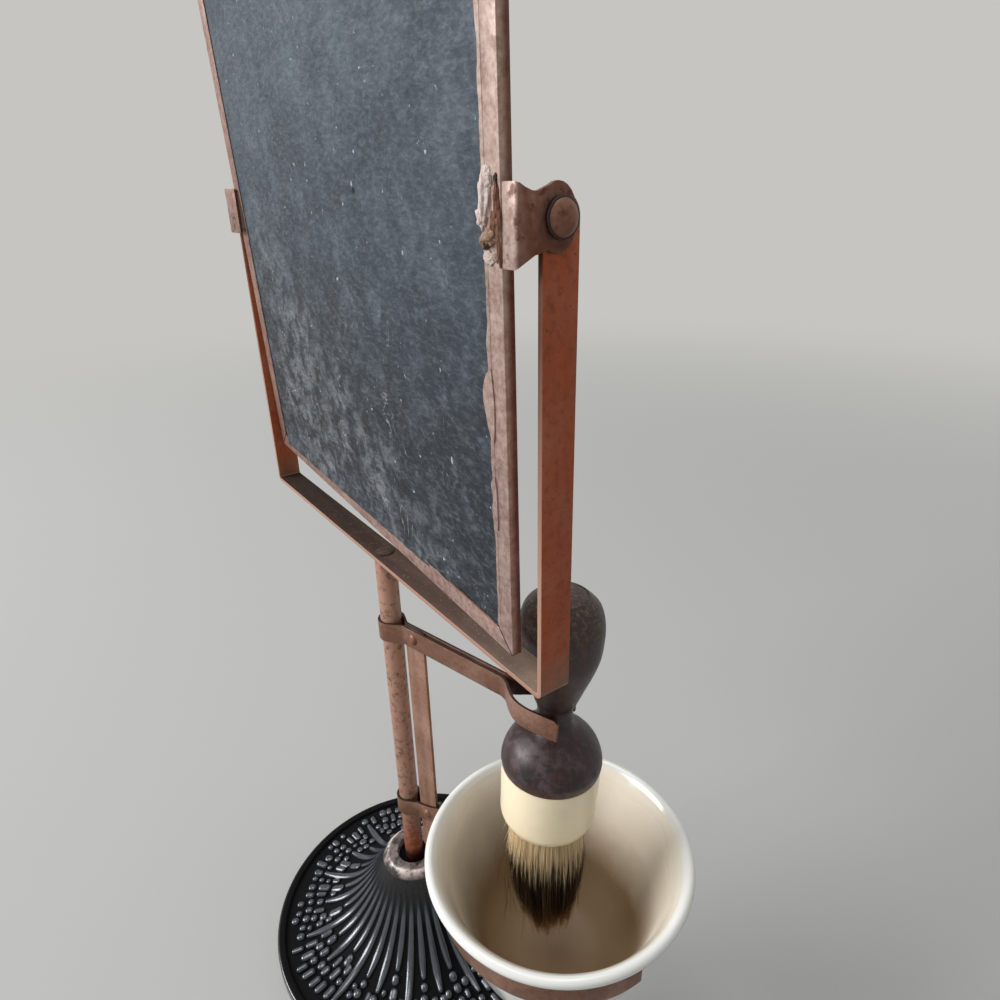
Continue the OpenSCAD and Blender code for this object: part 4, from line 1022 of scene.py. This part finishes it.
# a pale table that fades into a wall
backdrop, far = colour(studio["wall"]), studio["reach"]
floorData = bpy.data.meshes.new("floor")
floorData.from_pydata([(-far, -far, 0), (far, -far, 0), (far, far, 0), (-far, far, 0)], [],
                      [(0, 1, 2, 3)])
floor = bpy.data.objects.new("floor", floorData)
bpy.context.scene.collection.objects.link(floor)
floorPaint, tree, shader = material("matt pale table", 0.85, Specular_IOR_Level=0.2)
shader.inputs["Base Color"].default_value = colour(studio["table"])
fromMiddle = distance(tree, add(tree, "TexCoord", out="Object"), (0, 0, 0), (1, 1, 0))
away = add(tree, "MapRange", {"Value": fromMiddle, "From Min": studio["fade"][0],
                              "From Max": studio["fade"][1]}, interpolation_type="SMOOTHSTEP")
seen = add(tree, "Math", {0: away, 1: backdropRays(tree)}, operation="MULTIPLY")
glow = add(tree, "Emission", {"Color": backdrop, "Strength": 1.0})
both = add(tree, "MixShader", {0: seen, 1: shader.outputs[0], 2: glow})
tree.links.new(both, tree.nodes["Material Output"].inputs["Surface"])
floorData.materials.append(floorPaint)

world = bpy.data.worlds.new("studio")
bpy.context.scene.world = world
world.use_nodes = True
tree = world.node_tree
tree.nodes["Background"].inputs["Color"].default_value = colour(studio["sky"])
# brighter towards the window than into the room
sky = add(tree, "TexCoord", out="Generated")
towards = add(tree, "VectorMath", {0: sky, 1: studio["windowSide"]}, out="Value",
              operation="DOT_PRODUCT")
strength = add(tree, "MapRange", {"Value": towards, "From Min": -0.2, "From Max": 0.95,
                                  "To Min": 0.3, "To Max": 0.88})
tree.links.new(strength, tree.nodes["Background"].inputs["Strength"])
behind = add(tree, "Background", {"Color": backdrop, "Strength": 1.0})
both = add(tree, "MixShader", {0: backdropRays(tree), 1: tree.nodes["Background"].outputs[0],
                               2: behind})
tree.links.new(both, tree.nodes["World Output"].inputs["Surface"])


def addLight(name, spot, target, size, power, tint):
    data = bpy.data.lights.new(name, "AREA")
    data.shape = "RECTANGLE"
    data.size, data.size_y = size
    data.energy = power
    data.color = colour(tint)[:3]
    made = bpy.data.objects.new(name, data)
    made.location = spot
    made.rotation_euler = (Vector(target) - Vector(spot)).to_track_quat("-Z", "Y").to_euler()
    bpy.context.scene.collection.objects.link(made)


for light in studio["lights"]:
    addLight(*light)

camera = {
    "place": (-207.96, 95.83, 314.3),
    "heading": (0.74296, -0.52817, -0.41116),
    "roll": -1.27,
    "lens": 25.2,
}
forward = Vector(camera["heading"]).normalized()
across = forward.cross(Vector((0, 0, 1))).normalized()
upward = across.cross(forward)
lean = math.radians(camera["roll"])
right = across * math.cos(lean) + upward * math.sin(lean)
up = upward * math.cos(lean) - across * math.sin(lean)
lensData = bpy.data.cameras.new("camera")
lensData.lens = camera["lens"]
lensData.sensor_width = 36
lensData.clip_start = 0.01
eye = bpy.data.objects.new("camera", lensData)
eye.matrix_world = Matrix((
    (right[0], up[0], -forward[0], camera["place"][0] * mm),
    (right[1], up[1], -forward[1], camera["place"][1] * mm),
    (right[2], up[2], -forward[2], camera["place"][2] * mm),
    (0, 0, 0, 1)))
bpy.context.scene.collection.objects.link(eye)
bpy.context.scene.camera = eye
bpy.context.scene.view_settings.view_transform = "Standard"
print("stage: light and camera set")
